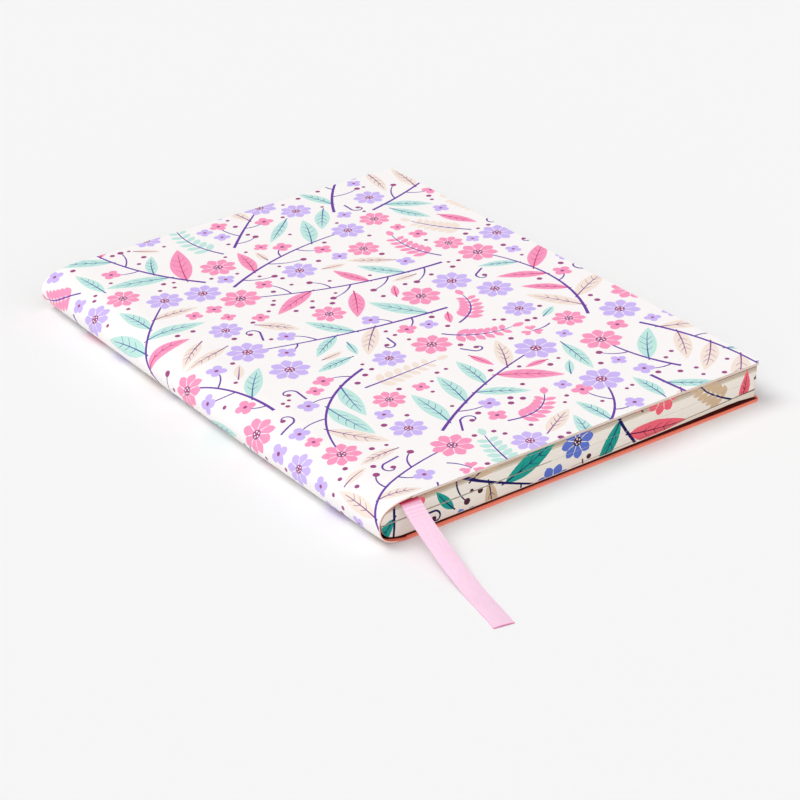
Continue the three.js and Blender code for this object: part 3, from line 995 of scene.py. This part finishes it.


# Centre leaves
# The two leaves that stand between the halves when the book is opened in the middle. Near the spine their
# tail and head edges are painted dark, as painted shadow of the gap between the halves.
PAINTED_SHADE_TO = 66
painted_gap_shadow = [band("shade", 0, BOOK_THICKNESS, start, start + PAINTED_SHADE_TO)
          for start in (0, EDGE_GIRTH - PAINTED_SHADE_TO)]
for number in (1, 2):
    leaf = leaves(f"centre_leaf_paper_{number}", f"centre_leaf_{number}", 0, 0, painted_gap_shadow)
    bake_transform(leaf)


# Fold of the middle sheet
# The middle of the book is one folded sheet, so that paper runs across the gutter when it is opened.
# Its two flaps lie on the halves, under the standing leaves.
FOLD_FROM_SPINE = 1.85
FLAP_REACH = 3.6
FLAP_THICKNESS = 0.03
FLAP_GAP = 0.015
FLAP_INSET = 0.3
FLAP_ROWS = 80
ROUND_STEPS = 12
leaf_low, leaf_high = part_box("centre_leaf_1"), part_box("centre_leaf_2")
flap_low = (leaf_low[0].z - CORNER.z) / MM - FLAP_GAP - FLAP_THICKNESS
flap_high = (leaf_high[1].z - CORNER.z) / MM + FLAP_GAP + FLAP_THICKNESS
turn_low, turn_high = (leaf_low[1].z - CORNER.z) / MM, (leaf_high[0].z - CORNER.z) / MM
turns = list(np.linspace(turn_low, turn_high, ROUND_STEPS + 1))


def folded(fold, low, high):
    """One face of the folded sheet in X and Z, from flap to flap."""
    return [(FLAP_REACH, low), *((fold, z) for z in (low, *turns, high)), (FLAP_REACH, high)]


outer_face = folded(FOLD_FROM_SPINE, flap_low, flap_high)
inner_face = folded(FOLD_FROM_SPINE + FLAP_THICKNESS, flap_low + FLAP_THICKNESS, flap_high - FLAP_THICKNESS)
profile = [*outer_face, *reversed(inner_face)]
count = len(profile)
tail_end, head_end = ((corner.y - CORNER.y) / MM for corner in leaf_low)
rows = np.linspace(tail_end + FLAP_INSET, head_end - FLAP_INSET, FLAP_ROWS)
spots = [settled(x, y, z, False) for y in rows for x, z in profile]
sides = []
for start in range(0, (FLAP_ROWS - 1) * count, count):
    for i in range(count):
        a, b = start + i, start + (i + 1) % count
        sides.append((a, b, b + count, a + count))
cap = [(count - 1 - i, count - 2 - i, i + 1, i) for i in range(len(outer_face) - 1)]
last_row = (FLAP_ROWS - 1) * count
fold_faces = [*sides, *cap, *(tuple(v + last_row for v in reversed(quad)) for quad in cap)]
middle_fold = piece("middle_fold_paper", spots, fold_faces, PAPER, smooth=False)
print_on(middle_fold.data, ["ground"] * len(fold_faces), EDGE_INKS)
page_faces = middle_fold.data.attributes.new("page", "FLOAT", "FACE")
page_faces.data.foreach_set("value", [1.0] * len(fold_faces))
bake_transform(middle_fold)


# Wrap
# One sheet of satin-coated cover stock, printed flat and glued round card and spine from fore edge to fore
# edge. It is made here as two pieces that meet on the upper shoulder.
COVER_HEIGHT = (BACK_TOP.y - CORNER.y) / MM
COVER_CORNER = 2
COVER_CORNER_STEPS = 6
COVER_SEED = 7
WRAP_THICKNESS = 0.2
SEAM_FROM_SPINE = 4.6
# Places along the girth nearer than this count as one
TOUCHING = 0.01
# Where a sheet is cut so that it can bend: closely over the spine, beside the seam, and coarsely beyond
SPINE_CUTS = 0.4
SEAM_CUTS = (0.04, 0.12)
FLAT_CUTS = 12.5
FLATS = 180
BENT = (-8, 18)
# A sheet's layout for baking: its face in full, and its back small beside it
BAKE_SIZE = 1.02
BACK_AT, BACK_SCALE = 0.84, 0.15
# "deep" and "spine" are painted shade on the lining: under the block, and up the inside of the spine
WRAP_INKS = {
    "ground": "#FFFBFA", "lavender": "#D1BAFA", "pink": "#FF99C2", "mint": "#C4ECE4", "cream": "#FAE8DC",
    "stem": "#6E37A6", "plum": "#A24584", "milk": "#FFFBF9", "mint_vein": "#4A6EAA", "pink_vein": "#CD3C78",
    "cream_vein": "#8C5096", "cut": "#FCD5CA", "coral": "#FF876D", "inner": "#F6E9E4",
    "board": "#D6C6B8", "deep": "#5A120B", "spine": "#C9523F",
}
# Where a cut edge changes its ink along the girth: coral behind, pale in the spine's mouth, board beyond
CORAL_FROM = -11.5
MOUTH_TO = 16
SHEET_LOW, SHEET_HIGH = float(GIRTH[0]), float(GIRTH[-1])
SHOULDERS_FROM, SHOULDERS_TO = float(GIRTH[1]), float(GIRTH[-2])
MID_FRONT = slice(1 + GIRTH_STEPS, None)
SEAM = float(np.interp(SEAM_FROM_SPINE, GIRTH_LINE[MID_FRONT, 0], GIRTH[MID_FRONT]))


def round_cover(along, y, depth):
    """A point of the cover, so far round its girth, up its height, and in from its outside."""
    x, z = (np.interp(along, GIRTH, GIRTH_LINE[:, k]) for k in (0, 1))
    in_x, in_z = (np.interp(along, GIRTH, GIRTH_INWARD[:, k]) for k in (0, 1))
    return at(drawn_in(x, y) + in_x * depth, y, z + in_z * depth)


def round_corner(x, y, radius, turn):
    """A quarter circle round x and y that starts at turn degrees."""
    turns = [math.radians(turn + 90 * i / COVER_CORNER_STEPS) for i in range(COVER_CORNER_STEPS + 1)]
    return [(x + radius * math.cos(t), y + radius * math.sin(t)) for t in turns]


def sheet_outline(start, end, inset):
    """A cover sheet laid flat, with round corners at each end that is a fore edge."""
    outline = []
    for u, way in ((end, 1), (start, -1)):
        fore = abs(u - GIRTH[0]) < TOUCHING or abs(u - GIRTH[-1]) < TOUCHING
        low, high = inset, COVER_HEIGHT - inset
        for y, turn in ((low, -90), (high, 0)) if way > 0 else ((high, 90), (low, 180)):
            if fore:
                centre_y = y + COVER_CORNER if y == low else y - COVER_CORNER
                outline += round_corner(u - way * COVER_CORNER, centre_y, COVER_CORNER, turn)
            else:
                outline.append((u, y))
    return outline


def sheet_lines(start, end):
    """Where a flat sheet is cut so that it can follow the spine."""
    places = [*np.arange(SHOULDERS_FROM - 1, SHOULDERS_TO + 1, SPINE_CUTS)]
    places += [u for u in np.arange(-FLATS, FLATS, FLAT_CUTS) if not BENT[0] < u < BENT[1]]
    places += [SEAM + way * near for way in (-1, 1) for near in SEAM_CUTS]
    return [((u, -1), (u, COVER_HEIGHT + 1)) for u in places if start < u < end]


def cover_sheet(name, start, end, motifs, depths, finish, rim_ink, back_ink=None, inset=0):
    """A sheet of the cover between two depths, which may change along the girth, closed all round.

    Without an ink of its own, the back carries what the face has.
    """
    flat, faces, inks = cut_sheet(sheet_outline(start, end, inset), sheet_lines(start, end), motifs)
    count = len(flat)
    points = [round_cover(p.x, p.y, depth(p.x)) for depth in depths for p in flat]
    edges, rim, behind = two_sided(faces, count)
    made = piece(name, points, [*faces, *rim, *behind], finish)
    mesh = made.data
    edge_of = {tuple(sorted(e.vertices)): e.index for e in mesh.edges}
    flags = [False] * len(mesh.edges)
    for shift in (0, count):
        for a, b in edges:
            flags[edge_of[tuple(sorted((a + shift, b + shift)))]] = True
    mesh.attributes.new("sharp_edge", "BOOLEAN", "EDGE").data.foreach_set("value", flags)
    behind_inks = [back_ink] * len(behind) if back_ink else inks
    print_on(mesh, [*inks, *[rim_ink(flat[a].x) for a, _ in edges], *behind_inks], WRAP_INKS)
    size = COVER_HEIGHT * BAKE_SIZE
    places = [((p.x - start) / size, p.y / size) for p in flat]
    small = [(BACK_AT + u * BACK_SCALE, v * BACK_SCALE) for u, v in places]
    values = []
    for face in mesh.polygons:
        for v in face.vertices:
            values += places[v] if face.index < len(faces) else small[v % count]
    mesh.uv_layers.new(name="OFBake").data.foreach_set("uv", values)
    return made


def glued_round(label, layer, prints, depths, finish, seam_ink, back_ink=None):
    """A whole sheet round the cover, in its two pieces. Its cut edge has an ink of its own at the seam."""

    def rim_ink(u):
        if abs(u - SEAM) < TOUCHING:
            return seam_ink
        if u < CORAL_FROM:
            return "coral"
        return "cut" if u < MOUTH_TO else "board"

    rest = (depths, finish, rim_ink, back_ink)
    back = cover_sheet(f"{label}_back_and_spine", SHEET_LOW, SEAM, prints[0], *rest)
    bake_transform(back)
    front = cover_sheet(f"{label}_front", SEAM, SHEET_HIGH, prints[1], *rest)
    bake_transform(front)
    for sheet, side in ((back, "back"), (front, "front")):
        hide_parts(f"{side}_cover_{layer}", f"spine_{layer}_upper")


def printed_stock():
    """Satin-coated stock: a soft even gloss over a very fine tooth, and ink that lies a little flatter."""
    made = Finish("printed_cover", Specular_IOR_Level=0.45)
    ink = made.attribute("ink", "Color")
    cloud = made.grain(9, 3)
    tooth = made.grain(0.35, 3)
    made.colour(made.shade(ink, 0.985 + cloud * 0.02 + (tooth - 0.5) * 0.03))
    made.roughness(0.4 + tooth * 0.12 + cloud * 0.06)
    made.relief(tooth * 0.5 + cloud * 0.3, 0.012)
    return made


sheet_print = lay_out((SHEET_LOW, 0), (SHEET_HIGH, COVER_HEIGHT), COVER_SEED)
glued_round("printed_wrap", "wrap", (sheet_print, sheet_print),
            (lambda u: 0, lambda u: WRAP_THICKNESS), printed_stock(), "ground", "inner")


# Lining
# Coral paper pasted over the inside of the cover: up the spine, over the edge of the card and along it.
# It carries painted shade: dark where the block lies on it and in the spine's mouth, and lighter further up
# inside the spine.
LINING_DEPTH = 0.22
LINING_THICKNESS = 0.2
CARD_STEP = 0.42
STEP_AHEAD = 0.35
STEP_LENGTH = 0.8
# The dark painted shade is about as long and wide as the block, and tapers at the mouth of the spine.
# The part inside the spine starts further in from tail and head.
SHADE_OUT = 0.35
SHADE_AT_CORNER = 0.45
SHADE_WEDGE = 50
MOUTH_FROM, FLAT_FROM = -9, -16
MOUTH_SHADE = 1.5
MOUTH_DEPTH = 9
SHORT_OF_SEAM = 0.5
SPINE_FROM = -10


def over_card(u):
    """How far the lining stands in at a place along the girth, where it rides over the card's edge."""
    ahead = max(u - SHOULDERS_TO, SHOULDERS_FROM - u) + STEP_AHEAD
    return LINING_DEPTH + CARD_STEP * smooth_step(ahead, 0, STEP_LENGTH)


def coral_paper():
    """Dyed paper with a soft fibrous tooth."""
    made = Finish("coral_paper", Specular_IOR_Level=0.3)
    fibre = made.grain(0.5, 5, (2.5, 1, 1))
    speck = made.grain(0.22, 2)
    cloud = made.grain(6, 3)
    level = 1.02 - fibre.rise(0.35, 0.75) * 0.07 + cloud * 0.03 + (speck - 0.5) * 0.12
    made.colour(made.shade(made.attribute("ink", "Color"), level))
    made.roughness(0.66 + fibre * 0.16)
    made.relief(fibre * 0.6 + speck * 0.4, 0.04)
    return made


CORAL_PAPER = coral_paper()


# The lining laid flat, as the inks that cover one another
whole = ("coral", [(SHEET_LOW - 1, -1), (SHEET_HIGH + 1, -1), (SHEET_HIGH + 1, COVER_HEIGHT + 1),
                   (SHEET_LOW - 1, COVER_HEIGHT + 1)])
block_low, block_high = ((corner - CORNER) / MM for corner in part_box("section_01"))
fore = SHEET_LOW + COVER_WIDTH - FORE_EDGE
shade_low, shade_end = block_low.y - SHADE_OUT, SEAM - SHORT_OF_SEAM
# Painted shade: dark under the block and in the spine's mouth
painted_shade_under_block = ("deep", [(fore, SHADE_AT_CORNER), (fore + SHADE_WEDGE, shade_low), (FLAT_FROM, shade_low),
                   (MOUTH_FROM, block_low.y + MOUTH_SHADE / 2), (shade_end, block_low.y + MOUTH_SHADE),
                   (shade_end, block_high.y - MOUTH_SHADE), (MOUTH_FROM, block_high.y),
                   (fore, block_high.y)])
# A lighter painted shade up the inside of the spine
spine_low, spine_high = block_low.y + MOUTH_DEPTH, block_high.y - MOUTH_DEPTH
painted_spine_shade = ("spine", [(SPINE_FROM, spine_low), (SHEET_HIGH, spine_low), (SHEET_HIGH, spine_high),
                      (SPINE_FROM, spine_high)])
glued_round("coral_lining", "lining", ([whole, painted_shade_under_block, painted_spine_shade], [whole]),
            (over_card, lambda u: over_card(u) + LINING_THICKNESS), CORAL_PAPER, "coral")


# Card
# A thin flexible board behind the wrap of each cover, coral at the back and cream at the front.
# It stops short of the spine, which is why the spine stays supple.
CARD_COLOURS = {"back": ("#F8907A", "#EB7A65"), "front": ("#E6D8CC", "#D6C5B6")}


def dyed_card(name, face, ply_shade):
    """Board in fine plies, a little darker along some of them."""
    made = Finish(name, Specular_IOR_Level=0.2)
    ply = made.grain(0.1, 2, (25, 25, 1))
    speck = made.grain(0.25, 3)
    tone = made.blend(ply.rise(0.35, 0.7) * 0.5, paint(face), paint(ply_shade))
    made.colour(made.shade(tone, 0.94 + speck * 0.1))
    made.roughness(0.84 + speck * 0.1)
    made.relief(ply * 0.6 + speck * 0.4, 0.04)
    return made


for side, shades in CARD_COLOURS.items():
    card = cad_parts[f"{side}_cover_card"]
    card.data.materials.clear()
    card.data.materials.append(dyed_card(f"{side}_card", *shades).material)


# Flyleaves
# One free coral leaf at each end of the block, of the same paper as the lining.
BACK_FLYLEAF_INSET = 2.2
FLYLEAF_CUTS = 4


def coral_leaf(name, node, inset, edge_ink):
    """A leaf in a node's place, drawn in from tail, head and fore edge, with round corners."""
    low, high = ((corner - CORNER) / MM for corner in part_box(node))
    low.y, high.y, high.x = low.y + inset, high.y - inset, high.x - inset
    corner_x = high.x - LEAF_CORNER
    outline = [(low.x, low.y), *round_corner(corner_x, low.y + LEAF_CORNER, LEAF_CORNER, -90),
               *round_corner(corner_x, high.y - LEAF_CORNER, LEAF_CORNER, 0), (low.x, high.y)]
    places = np.arange(low.x + FLYLEAF_CUTS / 2, high.x, FLYLEAF_CUTS)
    flat, faces, _ = cut_sheet(outline, [((x, low.y - 1), (x, high.y + 1)) for x in places], [])
    points = [at(p.x, p.y, z) for z in (high.z, low.z) for p in flat]
    _, rim, under = two_sided(faces, len(flat))
    made = piece(name, points, [*faces, *rim, *under], CORAL_PAPER)
    coral = ["coral"] * len(faces)
    print_on(made.data, [*coral, *[edge_ink] * len(rim), *coral], WRAP_INKS)
    made.modifiers.new("edges", "EDGE_SPLIT").split_angle = EDGE_ANGLE
    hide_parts(node)
    return made


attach(coral_leaf("coral_flyleaf_back", "back_flyleaf", BACK_FLYLEAF_INSET, "coral"), "back_half")
flyleaf = coral_leaf("coral_flyleaf_front", "front_flyleaf", 0, "board")
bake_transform(flyleaf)


# Sewing
# Two-ply linen thread, in at one station and out at the next, laid in the fold or along its back.
# Geometry Nodes twist two plies along the route of each section's thread.
PLY = 0.075
PLY_TURN = 1.1
PLY_STEP = 0.35
STATION_COUNT = 6
STATION_TAIL = 1.0
STATION_STEPS = 8
THREAD_DEPTH = 1.0


def linen():
    """Undyed linen, in fine lengthwise fibres."""
    made = Finish("linen_thread", Specular_IOR_Level=0.3)
    fibre = made.grain(0.08, 3, (1, 4, 1))
    made.colour(made.blend(fibre.rise(0.35, 0.7) * 0.5, paint("#FBF9F3"), paint("#DCD4C4")))
    made.roughness(0.7 + fibre * 0.2)
    made.relief(fibre, 0.02)
    return made


def twisted_thread_nodes():
    """A tree that sweeps two round plies along a curve, turning them about each other."""
    tree = bpy.data.node_groups.new("twisted_thread", "GeometryNodeTree")
    face = tree.interface
    face.new_socket("Geometry", in_out="INPUT", socket_type="NodeSocketGeometry")
    for name in ("Ply radius", "Turn length", "Step"):
        face.new_socket(name, in_out="INPUT", socket_type="NodeSocketFloat")
    face.new_socket("Material", in_out="INPUT", socket_type="NodeSocketMaterial")
    face.new_socket("Geometry", in_out="OUTPUT", socket_type="NodeSocketGeometry")

    def node(kind, sockets=None, **settings):
        made = tree.nodes.new(kind)
        for name, value in settings.items():
            setattr(made, name, value)
        for name, value in (sockets or {}).items():
            if isinstance(value, bpy.types.NodeSocket):
                tree.links.new(value, made.inputs[name])
            else:
                made.inputs[name].default_value = value
        return made

    given = node("NodeGroupInput").outputs
    route = node("GeometryNodeResampleCurve", {"Curve": given["Geometry"], "Length": given["Step"]},
                 mode="LENGTH")
    run = node("GeometryNodeSplineParameter").outputs["Length"]
    turns = node("ShaderNodeMath", {0: run, 1: given["Turn length"]}, operation="DIVIDE").outputs[0]
    tilt = node("ShaderNodeMath", {0: turns, 1: TURN}, operation="MULTIPLY").outputs[0]
    tilted = node("GeometryNodeSetCurveTilt", {"Curve": route.outputs[0], "Tilt": tilt})
    ply = node("GeometryNodeCurvePrimitiveCircle", {"Resolution": 6, "Radius": given["Ply radius"]})
    aside = node("ShaderNodeCombineXYZ", {"X": given["Ply radius"]}).outputs[0]
    back = node("ShaderNodeVectorMath", {0: aside, 1: (-1, 0, 0)}, operation="MULTIPLY").outputs[0]
    plies = [node("GeometryNodeTransform", {"Geometry": ply.outputs[0], "Translation": way})
             for way in (aside, back)]
    pair = node("GeometryNodeJoinGeometry")
    for moved_ply in plies:
        tree.links.new(moved_ply.outputs[0], pair.inputs[0])
    swept = node("GeometryNodeCurveToMesh", {"Curve": tilted.outputs[0], "Profile Curve": pair.outputs[0],
                                             "Fill Caps": True})
    real = node("GeometryNodeRealizeInstances", {"Geometry": swept.outputs[0]})
    done = node("GeometryNodeSetMaterial", {"Geometry": real.outputs[0], "Material": given["Material"]})
    node("NodeGroupOutput", {"Geometry": done.outputs[0]})
    return tree


def socket_of(tree, name):
    """The identifier of a tree's input."""
    return next(i.identifier for i in tree.interface.items_tree if i.name == name and i.in_out == "INPUT")


def grown(name, base, tree, inputs):
    """Runs a tree on an object and returns the result as a plain mesh piece."""
    modifier = base.modifiers.new(tree.name, "NODES")
    modifier.node_group = tree
    for label, value in inputs.items():
        modifier[socket_of(tree, label)] = value
    bpy.context.view_layer.update()
    result = base.evaluated_get(bpy.context.evaluated_depsgraph_get())
    mesh = bpy.data.meshes.new_from_object(result)
    mesh.name = name
    made = bpy.data.objects.new(name, mesh)
    bpy.context.scene.collection.objects.link(made)
    bpy.data.objects.remove(base)
    return made


def curve_through(name, points):
    """A curve object of straight runs through points in the frame's metres."""
    data = bpy.data.curves.new(name, "CURVE")
    data.dimensions = "3D"
    spline = data.splines.new("POLY")
    spline.points.add(len(points) - 1)
    for knot, point in zip(spline.points, points):
        knot.co = (*point, 1)
    made = bpy.data.objects.new(name, data)
    bpy.context.scene.collection.objects.link(made)
    return made


LINEN = linen()
thread_tree = twisted_thread_nodes()
for number in range(1, SECTION_COUNT + 1):
    low, high = ((corner - CORNER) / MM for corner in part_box(f"thread_{number:02d}"))
    height = (low.z + high.z) / 2
    outside = fold_line(height, THREAD_DEPTH)
    inside = high.x - (high.z - low.z) / 2
    stations = np.linspace(low.y + STATION_TAIL, high.y - STATION_TAIL, STATION_COUNT)
    route = [(outside, stations[0] - STATION_TAIL)]
    for i, station in enumerate(stations):
        pair = (outside, inside) if i % 2 == 0 else (inside, outside)
        route += [(x, station) for x in pair]
        if i < STATION_COUNT - 1:
            route += [(pair[1], y) for y in np.linspace(station, stations[i + 1], STATION_STEPS)[1:-1]]
    route.append((route[-1][0], stations[-1] + STATION_TAIL))
    places = [at(drawn_in(x, y, BLOCK_DEPTH), y, height) for x, y in route]
    thread = grown(f"linen_thread_{number:02d}", curve_through("route", places), thread_tree,
                   {"Ply radius": PLY * MM, "Turn length": PLY_TURN * MM, "Step": PLY_STEP * MM,
                    "Material": LINEN.material})
    thread.data.polygons.foreach_set("use_smooth", [True] * len(thread.data.polygons))
    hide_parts(f"thread_{number:02d}")
    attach(thread, "back_half" if number <= SECTIONS_PER_HALF else "front_half")


# Mull
# Open cotton gauze, glued over the folds to hold the sections together and let the spine flex.
# It stops short of head and tail, and parts at mid height.
MULL_DEPTH = 0.72
MULL_THICKNESS = 0.1
MULL_INSET = 9
MULL_REACH = 6
GAUZE_PITCH = 0.7


def gauze():
    """Open cloth: pale strands both ways, darker between them."""
    made = Finish("mull_gauze", Specular_IOR_Level=0.2)
    weft = made.axis("Y").wave(GAUZE_PITCH * MM)
    warp = made.axis("Z").wave(GAUZE_PITCH * MM)
    strands = weft.math("MAXIMUM", weft, warp)
    fluff = made.grain(0.3, 4)
    made.colour(made.blend(strands.rise(0.4, 0.8), paint("#CFC6B4"), paint("#F6F2E8")))
    made.roughness(0.85 + fluff * 0.12)
    made.relief(strands * 0.8 + fluff * 0.2, 0.08)
    return made


cotton = gauze()
mull_depths = (lambda u: MULL_DEPTH, lambda u: MULL_DEPTH + MULL_THICKNESS)
mull_ends = [float(np.interp(MULL_REACH, GIRTH_LINE[part, 0][::way], GIRTH[part][::way]))
             for part, way in ((slice(1, 2 + GIRTH_STEPS), -1), (MID_FRONT, 1))]
halves = (("lower", mull_ends[0], 0, "back_half"), ("upper", 0, mull_ends[1], "front_half"))
for half, start, end, body in halves:
    mull = cover_sheet(f"gauze_{half}", start, end, [], mull_depths, cotton,
                       lambda u: "inner", "inner", MULL_INSET)
    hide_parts(f"spine_mull_{half}")
    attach(mull, body)


# Table and light
# A pale seamless table under a broad soft light from the upper left and back, so that the shadow falls softly
# to the right and in front.
BACKGROUND = "#F5F5F5"
TABLE_REACH = 6
WORLD_STRENGTH = 0.36
KEY_FROM = Vector((-0.42, 0.36, 1))
KEY_SOFTNESS = 38
FILL_FROM = Vector((-0.35, -1, 0.42))
FILL_SOFTNESS = 110
FILL_STRENGTH = 1.6
LEVEL_ON_TABLE = 0.97


def table_finish():
    """Seen straight on it is the background's grey. What bounces off it is the same grey."""
    made = Finish("pale_table", Specular_IOR_Level=0.0, Roughness=1.0)
    made.shader.inputs["Base Color"].default_value = paint(BACKGROUND)
    return made


table_mesh = bpy.data.meshes.new("table")
table_corners = [(x * TABLE_REACH, y * TABLE_REACH, CORNER.z)
                 for x, y in ((-1, -1), (1, -1), (1, 1), (-1, 1))]
table_mesh.from_pydata(table_corners, [], [(0, 1, 2, 3)])
table_mesh.materials.append(table_finish().material)
table = bpy.data.objects.new("table", table_mesh)
bpy.context.scene.collection.objects.link(table)


def lamp(name, source, softness, strength):
    """A distant lamp as wide as softness degrees. Strength is what it gives a surface that faces it."""
    data = bpy.data.lights.new(name, "SUN")
    data.angle = math.radians(softness)
    data.energy = strength
    made = bpy.data.objects.new(name, data)
    made.rotation_mode = "QUATERNION"
    made.rotation_quaternion = source.to_track_quat("Z", "Y")
    bpy.context.scene.collection.objects.link(made)


fill_on_table = FILL_STRENGTH / math.pi * FILL_FROM.normalized().z
key_on_table = LEVEL_ON_TABLE - WORLD_STRENGTH - fill_on_table
lamp("fill", FILL_FROM, FILL_SOFTNESS, FILL_STRENGTH)
lamp("key", KEY_FROM, KEY_SOFTNESS, key_on_table * math.pi / KEY_FROM.normalized().z)

world = bpy.data.worlds.new("room")
world.use_nodes = True
bpy.context.scene.world = world
room = world.node_tree
room.nodes.clear()
out = room.nodes.new("ShaderNodeOutputWorld")
mix = room.nodes.new("ShaderNodeMixShader")
ray = room.nodes.new("ShaderNodeLightPath")
lit = room.nodes.new("ShaderNodeBackground")
lit.inputs["Color"].default_value = (1, 1, 1, 1)
lit.inputs["Strength"].default_value = WORLD_STRENGTH
seen = room.nodes.new("ShaderNodeBackground")
seen.inputs["Color"].default_value = paint(BACKGROUND)
room.links.new(ray.outputs["Is Camera Ray"], mix.inputs[0])
room.links.new(lit.outputs[0], mix.inputs[1])
room.links.new(seen.outputs[0], mix.inputs[2])
room.links.new(mix.outputs[0], out.inputs[0])
bpy.context.scene.view_settings.view_transform = "Standard"
